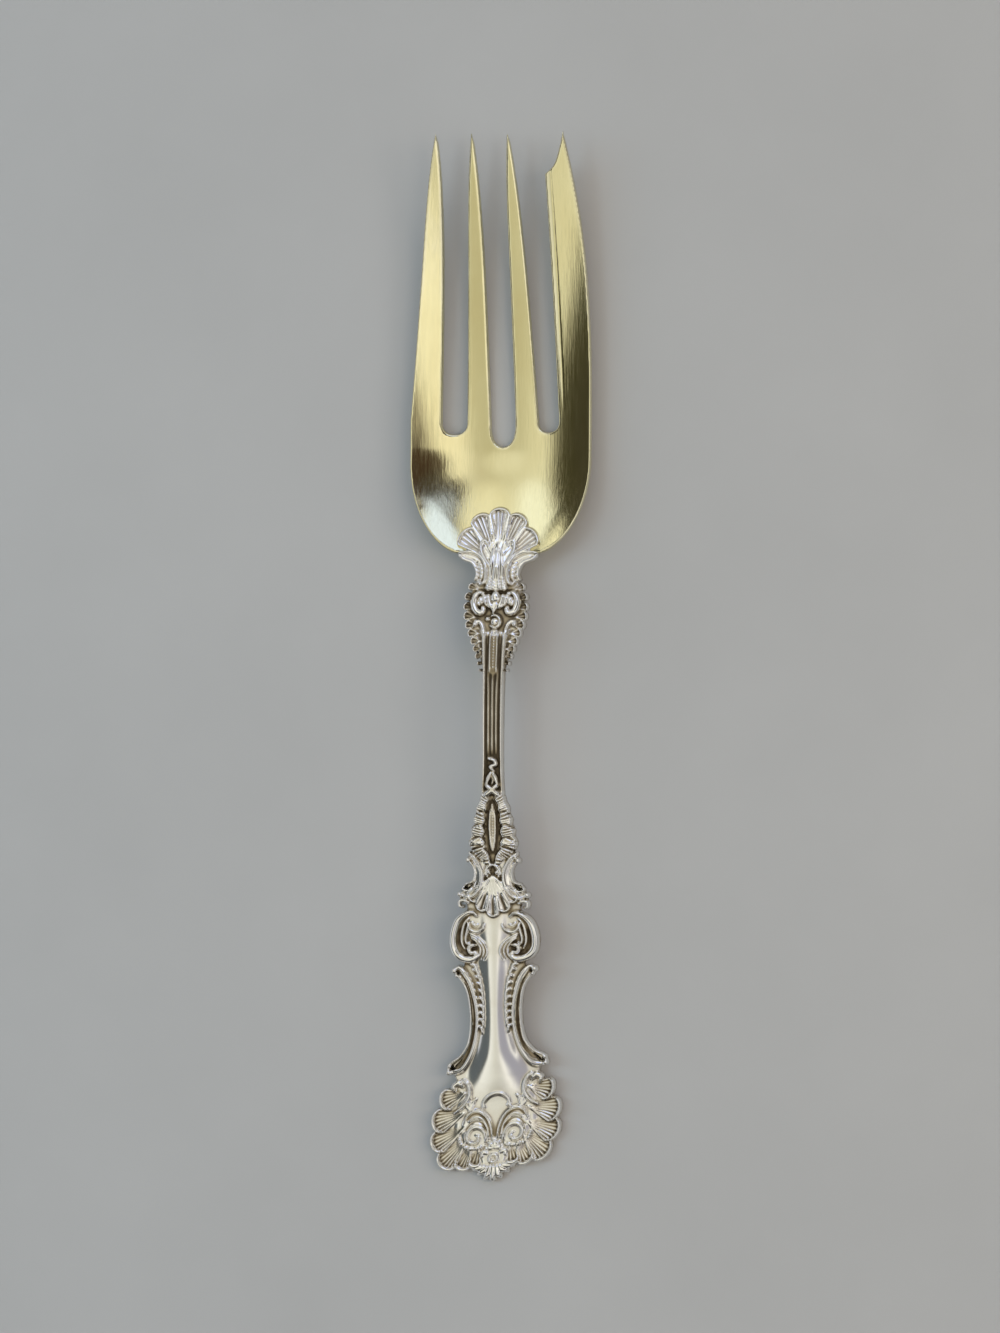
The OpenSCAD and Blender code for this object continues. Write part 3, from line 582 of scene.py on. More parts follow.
def plan_mesh(xs, ys, inside, height, ring):
    """Plan vertices, upward triangles and outline pieces of the region where inside is above 0, and the
    depth of the vertices inside it. Those close to the outline move to one depth, so its edge is even."""
    f = inside.copy()
    least = OUTLINE_GAP * ring
    f = np.where(np.abs(f) < least, np.where(f > 0, least, -least), f)
    whole, ((p1, q1, r1), (p2, q2, r2)) = marched(f, height)
    flat = f.ravel()
    n = flat.size
    x, y = (g.ravel() for g in np.meshgrid(xs, ys))

    def key(s, t):
        return np.minimum(s, t) * n + np.maximum(s, t)

    keys = np.concatenate([key(p1, q1), key(p1, r1), key(p2, q2), key(p2, r2)])
    unique, back = np.unique(keys, return_inverse=True)
    s, t = unique // n, unique % n
    share = flat[s] / (flat[s] - flat[t])
    cut_x = between(x[s], x[t], share)
    cut_y = between(y[s], y[t], share)
    k1, k2 = len(p1), len(p2)
    cut_pq1, cut_pr1 = back[:k1], back[k1:2 * k1]
    cut_pq2, cut_pr2 = back[2 * k1:2 * k1 + k2], back[2 * k1 + k2:]
    used = np.flatnonzero(flat > 0)
    number = np.full(n, -1)
    number[used] = np.arange(len(used))
    base = len(used)
    faces = np.vstack([
        number[whole],
        np.column_stack([number[p1], base + cut_pq1, base + cut_pr1]),
        np.column_stack([number[q2], number[r2], base + cut_pr2]),
        np.column_stack([number[q2], base + cut_pr2, base + cut_pq2]),
    ])
    outline = np.vstack([
        np.column_stack([base + cut_pq1, base + cut_pr1]),
        np.column_stack([base + cut_pr2, base + cut_pq2]),
    ])
    slope_y, slope_x = (g.ravel()[used] for g in np.gradient(inside, ys, xs))
    steep = np.maximum(slope_x**2 + slope_y**2, LEAST_STEEP)
    depth = inside.ravel()[used]
    push = np.clip(ring - depth, 0, ring) / steep
    points = np.column_stack([
        np.concatenate([x[used] + push * slope_x, cut_x]),
        np.concatenate([y[used] + push * slope_y, cut_y]),
    ])
    return points, faces, outline, base, used, np.maximum(depth, ring)


def coarse_back(points, outline, base, xs, ys, inside, step):
    """Few points inside the same outline for a plain back, their depth in it, and triangles over both."""
    inner = []
    depths = []
    for spacing, low, high in ((step, 2 * step, np.inf), (step / 2, 0.5 * step, 2 * step)):
        gx = np.arange(xs[0], xs[-1], spacing)
        gy = np.arange(ys[0], ys[-1], spacing)
        column = np.clip(np.searchsorted(xs, gx), 0, len(xs) - 1)
        row = np.clip(np.searchsorted(ys, gy), 0, len(ys) - 1)
        depth = inside[np.ix_(row, column)]
        keep = (depth > low) & (depth <= high)
        inner.append(np.column_stack([g[keep] for g in np.meshgrid(gx, gy)]))
        depths.append(depth[keep])
    inner = np.vstack(inner)
    every = np.vstack([points[base:], inner])
    result = geometry.delaunay_2d_cdt(
        [Vector(p) for p in every.tolist()], (outline - base).tolist(), [], INSIDE_ONLY, SAME_POINT)
    origin = np.array([o[0] for o in result[3]])
    faces = np.array([[origin[k] for k in face] for face in result[2]])
    return inner, np.concatenate(depths), faces + base


def put(name, data):
    """A new object in the scene."""
    made = bpy.data.objects.new(name, data)
    bpy.context.scene.collection.objects.link(made)
    return made


def make_object(name, vertices, faces, material, **attributes):
    mesh = bpy.data.meshes.new(name)
    mesh.from_pydata((vertices * MM).tolist(), [], faces.tolist())
    mesh.validate()
    for key, values in attributes.items():
        layer = mesh.attributes.new(key, "FLOAT", "POINT")
        layer.data.foreach_set("value", values.astype(np.float32))
    mesh.materials.append(material)
    mesh.shade_smooth()
    return put(name, mesh)


# Materials


def feed(tree, socket, value):
    """Links a node's output to a socket, or sets the socket to a constant."""
    if isinstance(value, bpy.types.NodeSocket):
        tree.links.new(value, socket)
    else:
        socket.default_value = value


def add(tree, kind, *values, **settings):
    """A new node. Values go to its first inputs, and settings to its inputs or properties by name."""
    node = tree.nodes.new(kind)
    for key, value in settings.items():
        if key in node.inputs:
            feed(tree, node.inputs[key], value)
        else:
            setattr(node, key, value)
    for socket, value in zip(node.inputs, values):
        feed(tree, socket, value)
    return node


def ramp(tree, value, stops):
    """The colour at a value, from stops of place and colour."""
    node = add(tree, "ShaderNodeValToRGB", value)
    elements = node.color_ramp.elements
    while len(elements) < len(stops):
        elements.new(0.5)
    for element, (place, colour) in zip(elements, stops):
        element.position = place
        element.color = (*colour, 1)
    return node.outputs["Color"]


def mapped(tree, value, start, end, low=0, high=1, **settings):
    """A value carried over from one range to another."""
    return add(tree, "ShaderNodeMapRange", value, start, end, low, high, **settings).outputs["Result"]


def stretched_noise(tree, scale, detail):
    """Noise of the object's own space with a scale along each axis, such as scratches along the fork."""
    place = add(tree, "ShaderNodeTexCoord")
    mapping = add(tree, "ShaderNodeMapping", Vector=place.outputs["Object"], Scale=scale)
    noise = add(tree, "ShaderNodeTexNoise", Vector=mapping.outputs["Vector"], Scale=1.0, Detail=detail,
                Roughness=0.6)
    return noise.outputs["Fac"]


def scratches(tree, value, strength):
    """Normals of shallow polishing scratches."""
    return add(tree, "ShaderNodeBump", Height=value, Strength=strength, Distance=0.0002).outputs["Normal"]


def new_material(name, build):
    """A material whose shader's inputs are what build makes in its node tree."""
    material = bpy.data.materials.new(name)
    material.use_nodes = True
    tree = material.node_tree
    for key, value in build(tree).items():
        feed(tree, tree.nodes["Principled BSDF"].inputs[key], value)
    return material


SILVER = (0.91, 0.90, 0.865)
SILVER_WARM = (0.80, 0.76, 0.68)
TARNISH = (0.34, 0.28, 0.185)
DEEP_TARNISH = (0.085, 0.066, 0.042)


def antique_silver(tree):
    patina = add(tree, "ShaderNodeAttribute", attribute_name="patina").outputs["Fac"]
    mottle = stretched_noise(tree, (260, 260, 260), 5)
    spread = add(tree, "ShaderNodeMath", mottle, 0.35, -0.17, operation="MULTIPLY_ADD").outputs[0]
    total = add(tree, "ShaderNodeMath", patina, spread, operation="ADD", use_clamp=True).outputs[0]
    stops = [(0.0, SILVER), (0.3, SILVER_WARM), (0.62, TARNISH), (1.0, DEEP_TARNISH)]
    return {
        "Base Color": ramp(tree, total, stops),
        "Metallic": 1.0,
        "Roughness": mapped(tree, total, 0, 1, 0.12, 0.45),
        "Normal": scratches(tree, stretched_noise(tree, (2600, 240, 1200), 3), 0.015),
    }


GILT = (0.80, 0.74, 0.45)
# Paler gold: real wear on the rims, and on the cutting edge wear with a painted highlight in place of its
# bright reflection
GILT_WORN_AND_LIT = (0.81, 0.77, 0.60)
GILT_DEEP = (0.72, 0.64, 0.35)


def pale_gilt(tree):
    # This value is rim wear, and along the cutting edge also a painted highlight
    worn = add(tree, "ShaderNodeAttribute", attribute_name="worn").outputs["Fac"]
    cloud = stretched_noise(tree, (60, 30, 60), 4)
    scratch = stretched_noise(tree, (2400, 130, 2400), 4)
    mixed = add(tree, "ShaderNodeMath", cloud, 0.9, worn, operation="MULTIPLY_ADD", use_clamp=True)
    return {
        "Base Color": ramp(tree, mixed.outputs[0], [(0.25, GILT_DEEP), (0.6, GILT), (1.0, GILT_WORN_AND_LIT)]),
        "Metallic": 1.0,
        "Roughness": mapped(tree, scratch, 0.3, 0.7, 0.08, 0.17),
        "Normal": scratches(tree, scratch, 0.06),
    }


SOLDER_DARK = (0.42, 0.40, 0.37)
SOLDER_PALE = (0.62, 0.60, 0.56)


def silver_solder(tree):
    grain = stretched_noise(tree, (900, 900, 900), 5)
    return {
        "Base Color": ramp(tree, grain, [(0.3, SOLDER_DARK), (0.7, SOLDER_PALE)]),
        "Metallic": 1.0,
        "Roughness": mapped(tree, grain, 0, 1, 0.35, 0.6),
    }


FLOOR_COLOUR = (0.42, 0.42, 0.425)


def pale_floor(tree):
    low, high = ([c * share for c in FLOOR_COLOUR] for share in (0.97, 1.03))
    speck = stretched_noise(tree, (14, 14, 14), 4)
    return {"Base Color": ramp(tree, speck, [(0.3, low), (0.7, high)]), "Roughness": 0.7}


# Ornament of the handle

# A place past the middle line, so that a mirrored outline has no edge along it
PAST = -3.0


def heel_shell(relief):
    """Shell that laps over the bowl: fluted lobes, leaves at its sides and curled ones in its middle."""
    relief.plate([(PAST, 24.0), (8.9, 23.5), (9.0, 22.5), (7.9, 21.2), (6.0, 20.5), (5.0, 19.7),
            (4.55, 18.8), (4.6, 17.8), (5.1, 17.0), (PAST, 16.5)])
    hinge = (0, 20.6)
    for angle, reach, spread in ((50, 11.0, 17), (23.5, 12.1, 14), (0, 12.6, 13.5)):
        way = math.radians(90 - angle)
        tip = (reach * math.cos(way), hinge[1] + reach * math.sin(way))
        for side in ((1, -1) if angle else (1,)):
            relief.lobe(hinge, (side * tip[0], tip[1]), spread, 1.0, 6, 0.42, 0.5, both=False, cap=0.18,
                    hub=0.7, start=0.24, stain=(0, 0.5))
    relief.ridge([(8.5, 22.4), (7.3, 21.6), (5.7, 21.0), (4.8, 19.8), (4.45, 18.3), (4.9, 17.2)],
            [0.5, 0.6, 0.6, 0.5], 0.55, edge=True)
    relief.ridges((
        ([(7.6, 22.5), (5.4, 22.0), (4.0, 20.8), (3.4, 18.9), (3.5, 17.3)], [0.5, 0.65, 0.65, 0.5], 0.45),
        ([(8.7, 23.1), (6.5, 23.4), (4.3, 22.7), (2.8, 20.9), (2.35, 18.7), (2.6, 16.9), (3.4, 16.2),
         (4.0, 16.8)], [0.45, 0.6, 0.6, 0.55, 0.55, 0.5, 0.45], 0.95),
    ))
    for y in (17.6, 18.5, 19.4, 20.3, 21.0):
        relief.groove([(4.6, y + 0.2), (3.2, y - 0.4)], 0.2, 0.14)
    relief.mound([(PAST, 24.4), (0, 24.4), (1.1, 23.6), (2.2, 22.6), (2.5, 21.4), (2.2, 20.0),
            (2.1, 18.5), (2.4, 16.4), (2.6, 15.2), (1.9, 14.4), (0.9, 14.7), (0, 14.2), (PAST, 14.2)],
            0.8, 1.2)
    relief.ridge([(1.2, 19.6), (2.3, 21.2), (3.5, 23.2), (3.7, 25.0), (3.0, 25.8), (2.2, 25.0),
            (2.3, 24.2)], [0.3, 0.45, 0.55, 0.55, 0.5, 0.42], 1.12)
    relief.ridge([(0, 25.0), (0, 20.0), (0, 15.0)], [0.4, 0.55, 0.6], 0.22, both=False, on_top=True)
    relief.ridges((
        ([(0.9, 23.8), (1.15, 20.0), (1.6, 15.2)], [0.3, 0.45, 0.45], 0.22),
        ([(0.3, 20.4), (0.5, 17.6), (0.75, 14.9)], [0.3, 0.42, 0.4], 0.32),
    ), on_top=True)
    for y in (15.0, 15.7, 16.4, 17.1):
        relief.groove([(0, y - 0.5), (0.9, y + 0.1), (1.7, y + 0.9)], 0.22, 0.16)


def neck_cuff(relief):
    """Cuff of the neck: a row of cups down each side, C scrolls with a palmette between them,
    and a crescent over a beaded tab."""
    relief.sink([(PAST, 14.4), (3.4, 15.4), (4.6, 14.0), (5.0, 11.5), (4.8, 9), (4.4, 6.8), (2.6, 5.6),
            (PAST, 6.0)], 0.14)
    relief.stain([(PAST, 14.6), (3.4, 15.4), (5.4, 14.0), (6.2, 11.5), (5.8, 8.6), (4.9, 6.2), (3.4, 2.0),
            (2.6, -1.0), (2.2, 2.0), (2.4, 5.4), (PAST, 6.0)], 0.22)
    relief.sink([(4.4, 6.6), (3.6, 3.6), (2.9, 0), (2.4, -3.4), (2.3, 0), (2.6, 4.4), (3.4, 6.6)], 0.2)
    inner = curve([(4.0, 16.2), (4.6, 14.6), (5.0, 13), (5.1, 11), (4.8, 9), (4.2, 6.6), (3.2, 3.4),
            (2.7, 0.4), (2.4, -3.2)])
    outer = curve([(5.8, 17.0), (6.65, 15.2), (7.15, 13.2), (7.25, 11), (7.1, 9), (6.4, 6.4), (5.2, 3.2),
            (4.2, 0.2), (3.2, -3.2)])
    first_step, last_step = 0.112, 0.07
    place = 0.0
    while place < 0.97:
        step = between(first_step, last_step, place)
        tip = part_way(outer, place + step / 2)
        root = between(tip, part_way(inner, place + step / 2), 1.25)
        relief.lobe(root, tip, 31, 0.8, 3, 0.2, 0.26, cap=0.35, hub=0.3, start=0.1, sides=False,
                tilt=-0.15, stain=(0.34, 0.5))
        place += step
    relief.ridge([(2.8, 14.2), (3.8, 14.3), (4.6, 13.4), (4.85, 11.9), (4.2, 10.4), (3.1, 10.0),
            (2.5, 10.6), (2.7, 11.2)], [0.45, 0.7, 0.86, 0.9, 0.82, 0.55], 0.95)
    for centre in ((2.85, 14.1), (2.7, 11.0)):
        relief.bead(centre, 0.6, 0.85)
    relief.mound([(0.9, 12.6), (0.75, 11.4), (0.2, 10.2), (-0.5, 9.6), (-0.9, 10.6), (-1.0, 12.6)],
            0.7, 0.7, both=False)
    relief.mound([(0.2, 10.8), (0.4, 13.6), (1.5, 14.2), (2.6, 13.9), (3.6, 13.6), (4.3, 12.9),
            (4.2, 11.8), (3.5, 11.2), (2.7, 11.8), (1.9, 11.2), (1.0, 10.7)], 0.8, 0.7)
    for foot, tip in (((1.6, 11.4), (2.0, 13.8)), ((2.5, 11.9), (3.0, 13.6)), ((3.2, 11.6), (3.9, 12.9))):
        relief.groove([foot, tip], 0.22, 0.24, stain=0.25)
    relief.mound([(PAST, 12.2), (0.3, 12.2), (0.95, 12.7), (1.15, 13.5), (0.8, 14.4), (0.3, 14.7),
            (PAST, 14.7)], 1.1, 0.9)
    relief.groove([(0.7, 12.0), (1.05, 12.8), (1.2, 13.7)], 0.2, 0.3, stain=0.35)
    relief.bead((0.05, 8.0), 0.95, 0.5, both=False)
    relief.ridge([(-0.7, 9.3), (0.4, 9.35), (1.2, 8.5), (1.05, 7.3), (0.1, 6.7), (-0.9, 7.1)],
            [0.3, 0.42, 0.42, 0.3], 0.9, both=False)
    relief.bead((-1.55, 8.6), 0.62, 0.75, both=False)
    relief.ridge([(0, 5.6), (0, 1), (0, -2.8)], [1.0, 1.0, 0.9], 0.42, both=False, flat=6)
    relief.ridge([(0.72, -2.9), (0.75, 4.6), (0.42, 5.6), (0, 5.8)], [0.28, 0.28, 0.3], 0.62)
    for k in range(12):
        relief.bead((0, 5.0 - 0.62 * k), 0.34, 0.62, both=False)


def stem(relief):
    """Reeds of the stem, the outer ones with a curl at the neck, and dark grooves between them."""
    relief.ridge([(4.5, 7.3), (4.2, 8.0), (3.3, 7.9), (2.6, 6.6), (2.25, 4.0), (2.1, 0), (2.05, -6),
            (2.03, -14), (2.05, -22), (2.2, -29.6)], [0.55, 0.5, 0.48], 0.5, ends=1)
    relief.bead((4.3, 7.5), 0.65, 0.75)
    relief.ridge([(1.5, 5.6), (1.3, 2), (1.1, -3), (0.9, -8), (0.86, -14), (0.88, -20.5)],
            [0.3, 0.36, 0.3], 0.24)
    relief.ridge([(0, -3), (0, -8), (0, -20.8)], [0.3, 0.36, 0.3], 0.24, both=False)
    relief.stain([(PAST, 5.3), (1.9, 5.3), (2.9, 3), (2.9, -29), (PAST, -29)], 0.68)
    for x, wide in ((1.42, 0.4), (0.44, 0.22)):
        relief.groove([(x, 3), (x * 0.98, -8), (x, -26)], wide, 0.06)


def crossed_ribbons(relief):
    """A cord, and under it two ribbons that cross, part round a beaded reed and are gathered in folds."""
    relief.sink([(PAST, -21), (1.8, -21.6), (1.9, -29.5), (PAST, -29.8)], 0.08)
    relief.sink([(PAST, -30), (0.2, -30), (1.2, -31.7), (1.9, -36), (2.0, -39.5), (1.0, -43),
            (0.6, -47.6), (PAST, -47.8)], 0.25)
    relief.ridges((
        ([(-0.7, -21.6), (0.6, -22.0), (0.8, -22.9), (-0.3, -23.4), (0.5, -24.3)],
         [0.4, 0.55, 0.55, 0.4], 0.75),
        ([(-0.3, -25.0), (0.25, -26.2), (-0.1, -27.4)], [0.3, 0.45, 0.3], 0.6),
        ([(-1.4, -27.2), (0.3, -28.6), (1.8, -29.7)], [0.6, 0.8, 0.75], 0.95),
        ([(1.4, -27.2), (-0.3, -28.6), (-1.8, -29.7)], [0.6, 0.8, 0.75], 0.95),
    ), both=False)
    relief.ridge([(0.1, -24.4), (0.7, -25.6), (1.3, -27.4)], [0.35, 0.65, 0.35], 0.75)
    relief.ridge([(1.1, -29.0), (2.2, -31.4), (2.85, -34.4), (3.3, -37.4), (3.5, -40), (2.7, -41.9),
            (1.55, -43.2), (0.8, -45.2)],
            [0.9, 1.2, 1.0, 1.35, 1.1, 1.55, 1.15, 1.8, 1.4, 2.05, 1.7, 1.4, 1.15, 0.8, 0.5], 0.95,
            folds=34, flat=5, slant=0.3, edge=True, stain=(0.3, 0.6))
    for crease in (
        [(1.0, -33.4), (2.3, -32.9), (3.6, -33.5)],
        [(1.6, -36.4), (2.9, -35.8), (4.6, -36.6)],
        [(1.8, -39.0), (3.3, -38.6), (5.2, -39.6)],
        [(1.5, -41.2), (3.0, -40.6), (5.2, -42.0)],
    ):
        relief.groove(crease, 0.3, 0.3)
    relief.mound([(1.0, -43.6), (2.9, -42.8), (3.0, -46.6), (1.8, -46.0)], 0.45, 0.6)
    relief.stain([(PAST, -30.3), (0.8, -30.3), (1.5, -33.4), (1.7, -38), (1.2, -42.6), (PAST, -43)], 0.6)
    relief.ridge([(0, -31.6), (0, -34), (0, -38), (0, -41.5)], [0.3, 0.75, 0.7, 0.3],
            0.2, both=False, flat=3)
    for k in range(10):
        relief.bead((0, -33.0 - 0.64 * k), 0.3, 0.36, both=False)
    relief.ridges((
        ([(0.4, -32.6), (0.62, -35), (0.58, -38), (0.3, -41)], [0.18, 0.24, 0.18], 0.34),
        ([(0, -44.6), (0.9, -45.0), (1.6, -46.2), (1.3, -47.2)], [0.35, 0.45, 0.4, 0.35], 0.65),
    ))
    relief.bead((0.9, -46.3), 0.55, 0.75)


def small_fan(relief):
    """Small fan between C scrolls with curled ends."""
    relief.ridge([(5.0, -42.6), (3.5, -44.2), (2.9, -46.6), (3.2, -49), (4.4, -50.7), (6.6, -51.0)],
            [0.6, 1.0, 1.15, 1.2, 1.05, 0.7], 0.5, edge=True)
    for tip, spread in (((5.2, -52.6), 13), ((2.9, -54.9), 12), ((0, -56.1), 11)):
        relief.lobe((0, -46.8), tip, spread, 0.95, 2, 0.5, 0.28, both=tip[0] > 0, edge=False, cap=0.2,
                stain=(0, 0.6))
    relief.mound([(PAST, -46.9), (0.3, -46.9), (1.2, -47.8), (1.6, -49.2), (1.0, -50.6), (0.2, -51.4),
            (PAST, -51.4)], 0.75, 1.3)
    relief.ridges((
        ([(5.2, -42.1), (3.6, -43.6), (2.45, -46.2), (2.6, -48.8), (3.8, -51), (5.4, -51.8),
         (7.3, -51.3)], [0.45, 0.5, 0.5, 0.55, 0.55, 0.5], 0.95),
        ([(5.4, -43.8), (4.4, -44.9), (4.0, -46.6), (4.5, -48.3), (6.0, -48.9)], [0.4, 0.45, 0.45, 0.4],
         0.7),
        ([(4.6, -49.7), (5.6, -50.4), (6.7, -50.1), (6.4, -49.4)], [0.35, 0.45, 0.45, 0.35], 0.7),
        ([(5.6, -52.9), (6.6, -52.5), (7.5, -52.8), (7.4, -53.8), (6.7, -53.9)],
         [0.45, 0.5, 0.6, 0.6, 0.45], 0.85),
    ), edge=True)
    relief.bead((5.5, -43.7), 0.75, 0.8, edge=True)
    relief.bead((7.45, -51.2), 0.8, 0.95, edge=True)


def scrolled_bosses(relief):
    """Round bosses beside the panel: a bold scroll round a sunk ground with curls and leaf stems."""
    relief.sink([(5.2, -56.6), (6.6, -56.9), (8.0, -59), (8.4, -61.6), (7.4, -63.8), (5.6, -64.5),
            (4.2, -64.0), (3.4, -63.4), (3.4, -61.8), (4.6, -60.6), (5.4, -59.2)], 0.28)
    relief.ridge([(3.7, -55.8), (4.5, -55.1), (6.0, -55.3), (7.9, -56.8), (8.9, -59.2), (9.15, -61.6),
            (8.6, -63.6), (7.2, -64.9), (5.2, -65.3), (3.9, -64.6), (4.2, -63.7)],
            [0.4, 0.6, 0.85, 0.95, 0.95, 0.98, 0.98, 0.85, 0.55], 1.05, edge=True)
    relief.ridges((
        ([(5.4, -56.3), (6.4, -57.4), (7.0, -59.4), (7.1, -61.4), (6.5, -63.0)],
         [0.25, 0.35, 0.38, 0.36, 0.25], 0.5),
        ([(5.5, -57.4), (5.9, -59.2), (6.2, -60.6), (6.0, -61.8), (5.4, -61.5)],
         [0.25, 0.34, 0.36, 0.34, 0.28], 0.6),
        ([(4.0, -62.2), (5.0, -62.2), (5.5, -62.9), (5.1, -63.8), (4.3, -63.6)],
         [0.35, 0.55, 0.6, 0.55, 0.4], 0.9),
        ([(1.95, -57.6), (2.5, -58.7), (3.8, -59.3), (5.1, -58.8), (5.7, -57.4)],
         [0.2, 0.4, 0.5, 0.42, 0.25], 0.7),
        ([(3.4, -57.6), (4.2, -57.9), (4.8, -57.2)], [0.25, 0.4, 0.3], 0.4),
    ))
    relief.stain([(5.2, -59.6), (3.4, -60.3), (1.7, -61.8), (1.2, -63.6), (1.8, -65.4), (3.6, -65.2),
            (3.9, -62.6), (5.2, -61.0)], 0.3)
    for s in (0.0, 0.78, 1.56):
        relief.ridge([(5.3 - 0.2 * s, -59.7 - 0.6 * s), (3.6 + 0.15 * s, -60.5 - 0.6 * s),
                (2.0 + 0.7 * s, -61.9 - 0.45 * s), (1.45 + s, -63.6 - 0.1 * s),
                (2.1 + 0.8 * s, -65.4 + 0.3 * s)], [0.14, 0.22, 0.24, 0.22, 0.14], 0.45)


def panel_scrolls(relief):
    """Rails along the waist, each of two lines that end in beads, and the twisted leaves inside them."""
    relief.groove([(6.6, -70), (5.35, -73.5), (4.8, -78), (5.5, -83), (7, -86.2), (9, -88)], 0.6, 0.2)
    relief.ridges((
        ([(8.9, -67.4), (7.7, -67.0), (6.3, -68.5), (5.1, -70.9), (4.15, -75), (4.0, -79), (4.65, -83),
         (5.9, -86.3), (7.9, -88.9), (10.5, -89.4)],
         [0.55, 0.72, 0.65, 0.56, 0.54, 0.54, 0.6, 0.72, 0.7], 0.95),
        ([(7.9, -68.9), (6.6, -70.8), (5.8, -73.4), (5.45, -77.5), (5.7, -81), (6.45, -83.8),
         (8.2, -86.2), (10.2, -87.4), (10.9, -88.6)], [0.5, 0.46, 0.44, 0.46, 0.5], 0.65),
    ), edge=True)
    for centre, radius, height in (((8.85, -67.6), 0.85, 1.0), ((8.4, -68.7), 0.6, 0.7),
            ((10.75, -89.3), 0.8, 0.95), ((10.6, -87.9), 0.65, 0.7)):
        relief.bead(centre, radius, height, edge=True)
    relief.groove([(4.3, -66.8), (3.4, -69.2), (2.95, -72.2), (2.85, -75.4), (3.0, -78.4), (3.5, -80.6)],
            0.7, 0.1)
    leaves = curve([(4.3, -66.4), (3.4, -69.0), (2.9, -72.0), (2.75, -75.4), (2.9, -78.4), (3.5, -81.0)],
            10)
    count = 10
    for k in range(count):
        x, y = leaves[int(k / count * (len(leaves) - 1))]
        grow = between(1.0, 0.7, k / count)
        relief.ridge([(x + 0.8 * grow, y + 0.1), (x - 0.1, y - 0.2), (x - 0.5 * grow, y - 1.6)],
                [0.36, 0.52 * grow, 0.26 * grow], 0.65)


def shell_end(relief):
    """Shell end: fluted fans round curled stems and spirals, an arch over them and a rosette below."""
    relief.mound([(6.0, -93.4), (8.2, -94.6), (9.0, -98.5), (9.2, -102.5), (8.2, -105.6), (6.4, -107.6),
            (4.0, -108.2), (2.6, -106.4), (7.0, -104.0), (7.0, -100.0), (5.6, -97.4)], 0.3, 2.4)
    for root, tip, spread, flutes in (
        ((6.5, -94.0), (13.0, -95.8), 31, 7),
        ((6.4, -98.4), (14.6, -100.4), 27, 8),
        ((6.4, -101.8), (14.5, -105.3), 25, 8),
        ((5.8, -104.0), (12.1, -110.3), 25, 8),
        ((5.0, -105.8), (7.7, -111.5), 26, 6),
        ((3.4, -106.0), (4.5, -111.2), 24, 4),
    ):
        relief.lobe(root, tip, spread, 1.05, flutes, 0.12, 0.55, cap=0.3, hub=0.5, start=0.06,
                sides=False, tilt=-0.2, stain=(0, 1.3))
    relief.ridge([(7.5, -91.3), (6.3, -92.6), (6.1, -94.8), (7.1, -96.8), (9.2, -98.4)],
            [0.45, 0.62, 0.62, 0.4], 0.85)
    relief.ridge([(7.7, -92.6), (8.6, -91.8), (9.7, -92.4), (9.5, -93.4)], [0.5, 0.8, 0.8, 0.5],
            0.75, edge=True)
    for tip in ((4.4, -95.6), (5.7, -95.2), (7.2, -96.2)):
        middle = between(np.array((5.5, -98.2)), np.array(tip), 0.55) + (0.35, 0.1)
        relief.ridge([(5.6, -98.4), middle, tip], [0.45, 0.6, 0.25], 0.4)
    arch = [(3.0, -98.0), (2.75, -96.6), (1.6, -95.4), (0, -94.95), (-1.6, -95.4), (-2.75, -96.6),
            (-3.0, -98.0)]
    relief.ridge(arch, [0.36, 0.44, 0.44, 0.44, 0.36], 0.5, both=False)
    relief.groove(arch, 0.16, 0.12, both=False)
    relief.bead((2.75, -97.7), 0.5, 0.5)
    relief.mound([(0.3, -104.8), (0.5, -102), (1.5, -99.7), (3.1, -98.2), (4.8, -97.6), (6.6, -98.5),
            (7.7, -100.5), (7.9, -103), (7.2, -105.3), (5.2, -106.5), (3, -106.4), (1.4, -105.7)],
            0.46, 1.6)
    relief.ridges((
        ([(0.55, -105.0), (0.85, -102.5), (1.8, -100.2), (3.4, -98.7), (5.0, -98.5), (6.4, -99.5),
         (7.2, -101.2)], [0.28, 0.44, 0.52, 0.52, 0.42, 0.2], 1.0),
        ([(1.3, -104.9), (1.65, -102.6), (2.6, -100.7), (3.9, -99.8), (5.2, -100.0), (6.1, -101.0)],
         [0.28, 0.42, 0.48, 0.42, 0.2], 0.92),
        ([(1.9, -105.4), (2.15, -103.6), (2.95, -102.5), (4.2, -102.0), (5.5, -102.5), (6.2, -103.8),
         (5.7, -105.1), (4.5, -105.5), (3.6, -104.9), (3.6, -104.1), (4.3, -103.8)],
         [0.28, 0.46, 0.66, 0.74, 0.7, 0.6, 0.5, 0.44, 0.5], 1.1),
    ))
    for line in (
        [(1.1, -104.6), (1.35, -102.6), (2.25, -100.4), (3.7, -99.25), (5.2, -99.25), (6.4, -100.3)],
        [(1.9, -104.4), (2.1, -102.6), (3.0, -101.3), (4.3, -100.8), (5.6, -101.3), (6.6, -102.4)],
    ):
        relief.groove(line, 0.22, 0.24, stain=0.55)
    relief.ridge([(8.1, -103.6), (7.5, -105.5), (5.8, -106.6), (3.6, -106.7), (1.9, -106.1)],
            [0.35, 0.6, 0.4, 0.6, 0.4, 0.6, 0.35], 0.8, folds=11, depth=0.6)
    relief.mound([(PAST, -107.0), (2.6, -107.2), (3.1, -109.0), (2.8, -110.6), (PAST, -111.2)], 0.45, 0.9)
    for tip in ((0, -105.2), (1.0, -105.8), (1.5, -106.9)):
        relief.ridge([(0, -107.1), tip], [0.5, 0.68], 0.85, both=tip[0] > 0)
    relief.ridge([(1.2, -108.2), (2.4, -107.8), (2.7, -109.0)], [0.5, 0.7, 0.5], 0.8)
    relief.ring((0, -109.3), 0.85, 0.48, 0.95)
    for tip in ((4.3, -111.3), (3.2, -112.4), (1.7, -113.5), (0, -114.0)):
        middle = between(np.array((0, -110.8)), np.array(tip), 0.6)
        relief.ridge([(tip[0] * 0.4, -110.8), middle, tip], [0.5, 0.95, 0.62],
                0.9, both=tip[0] > 0, edge=True)


# The handle

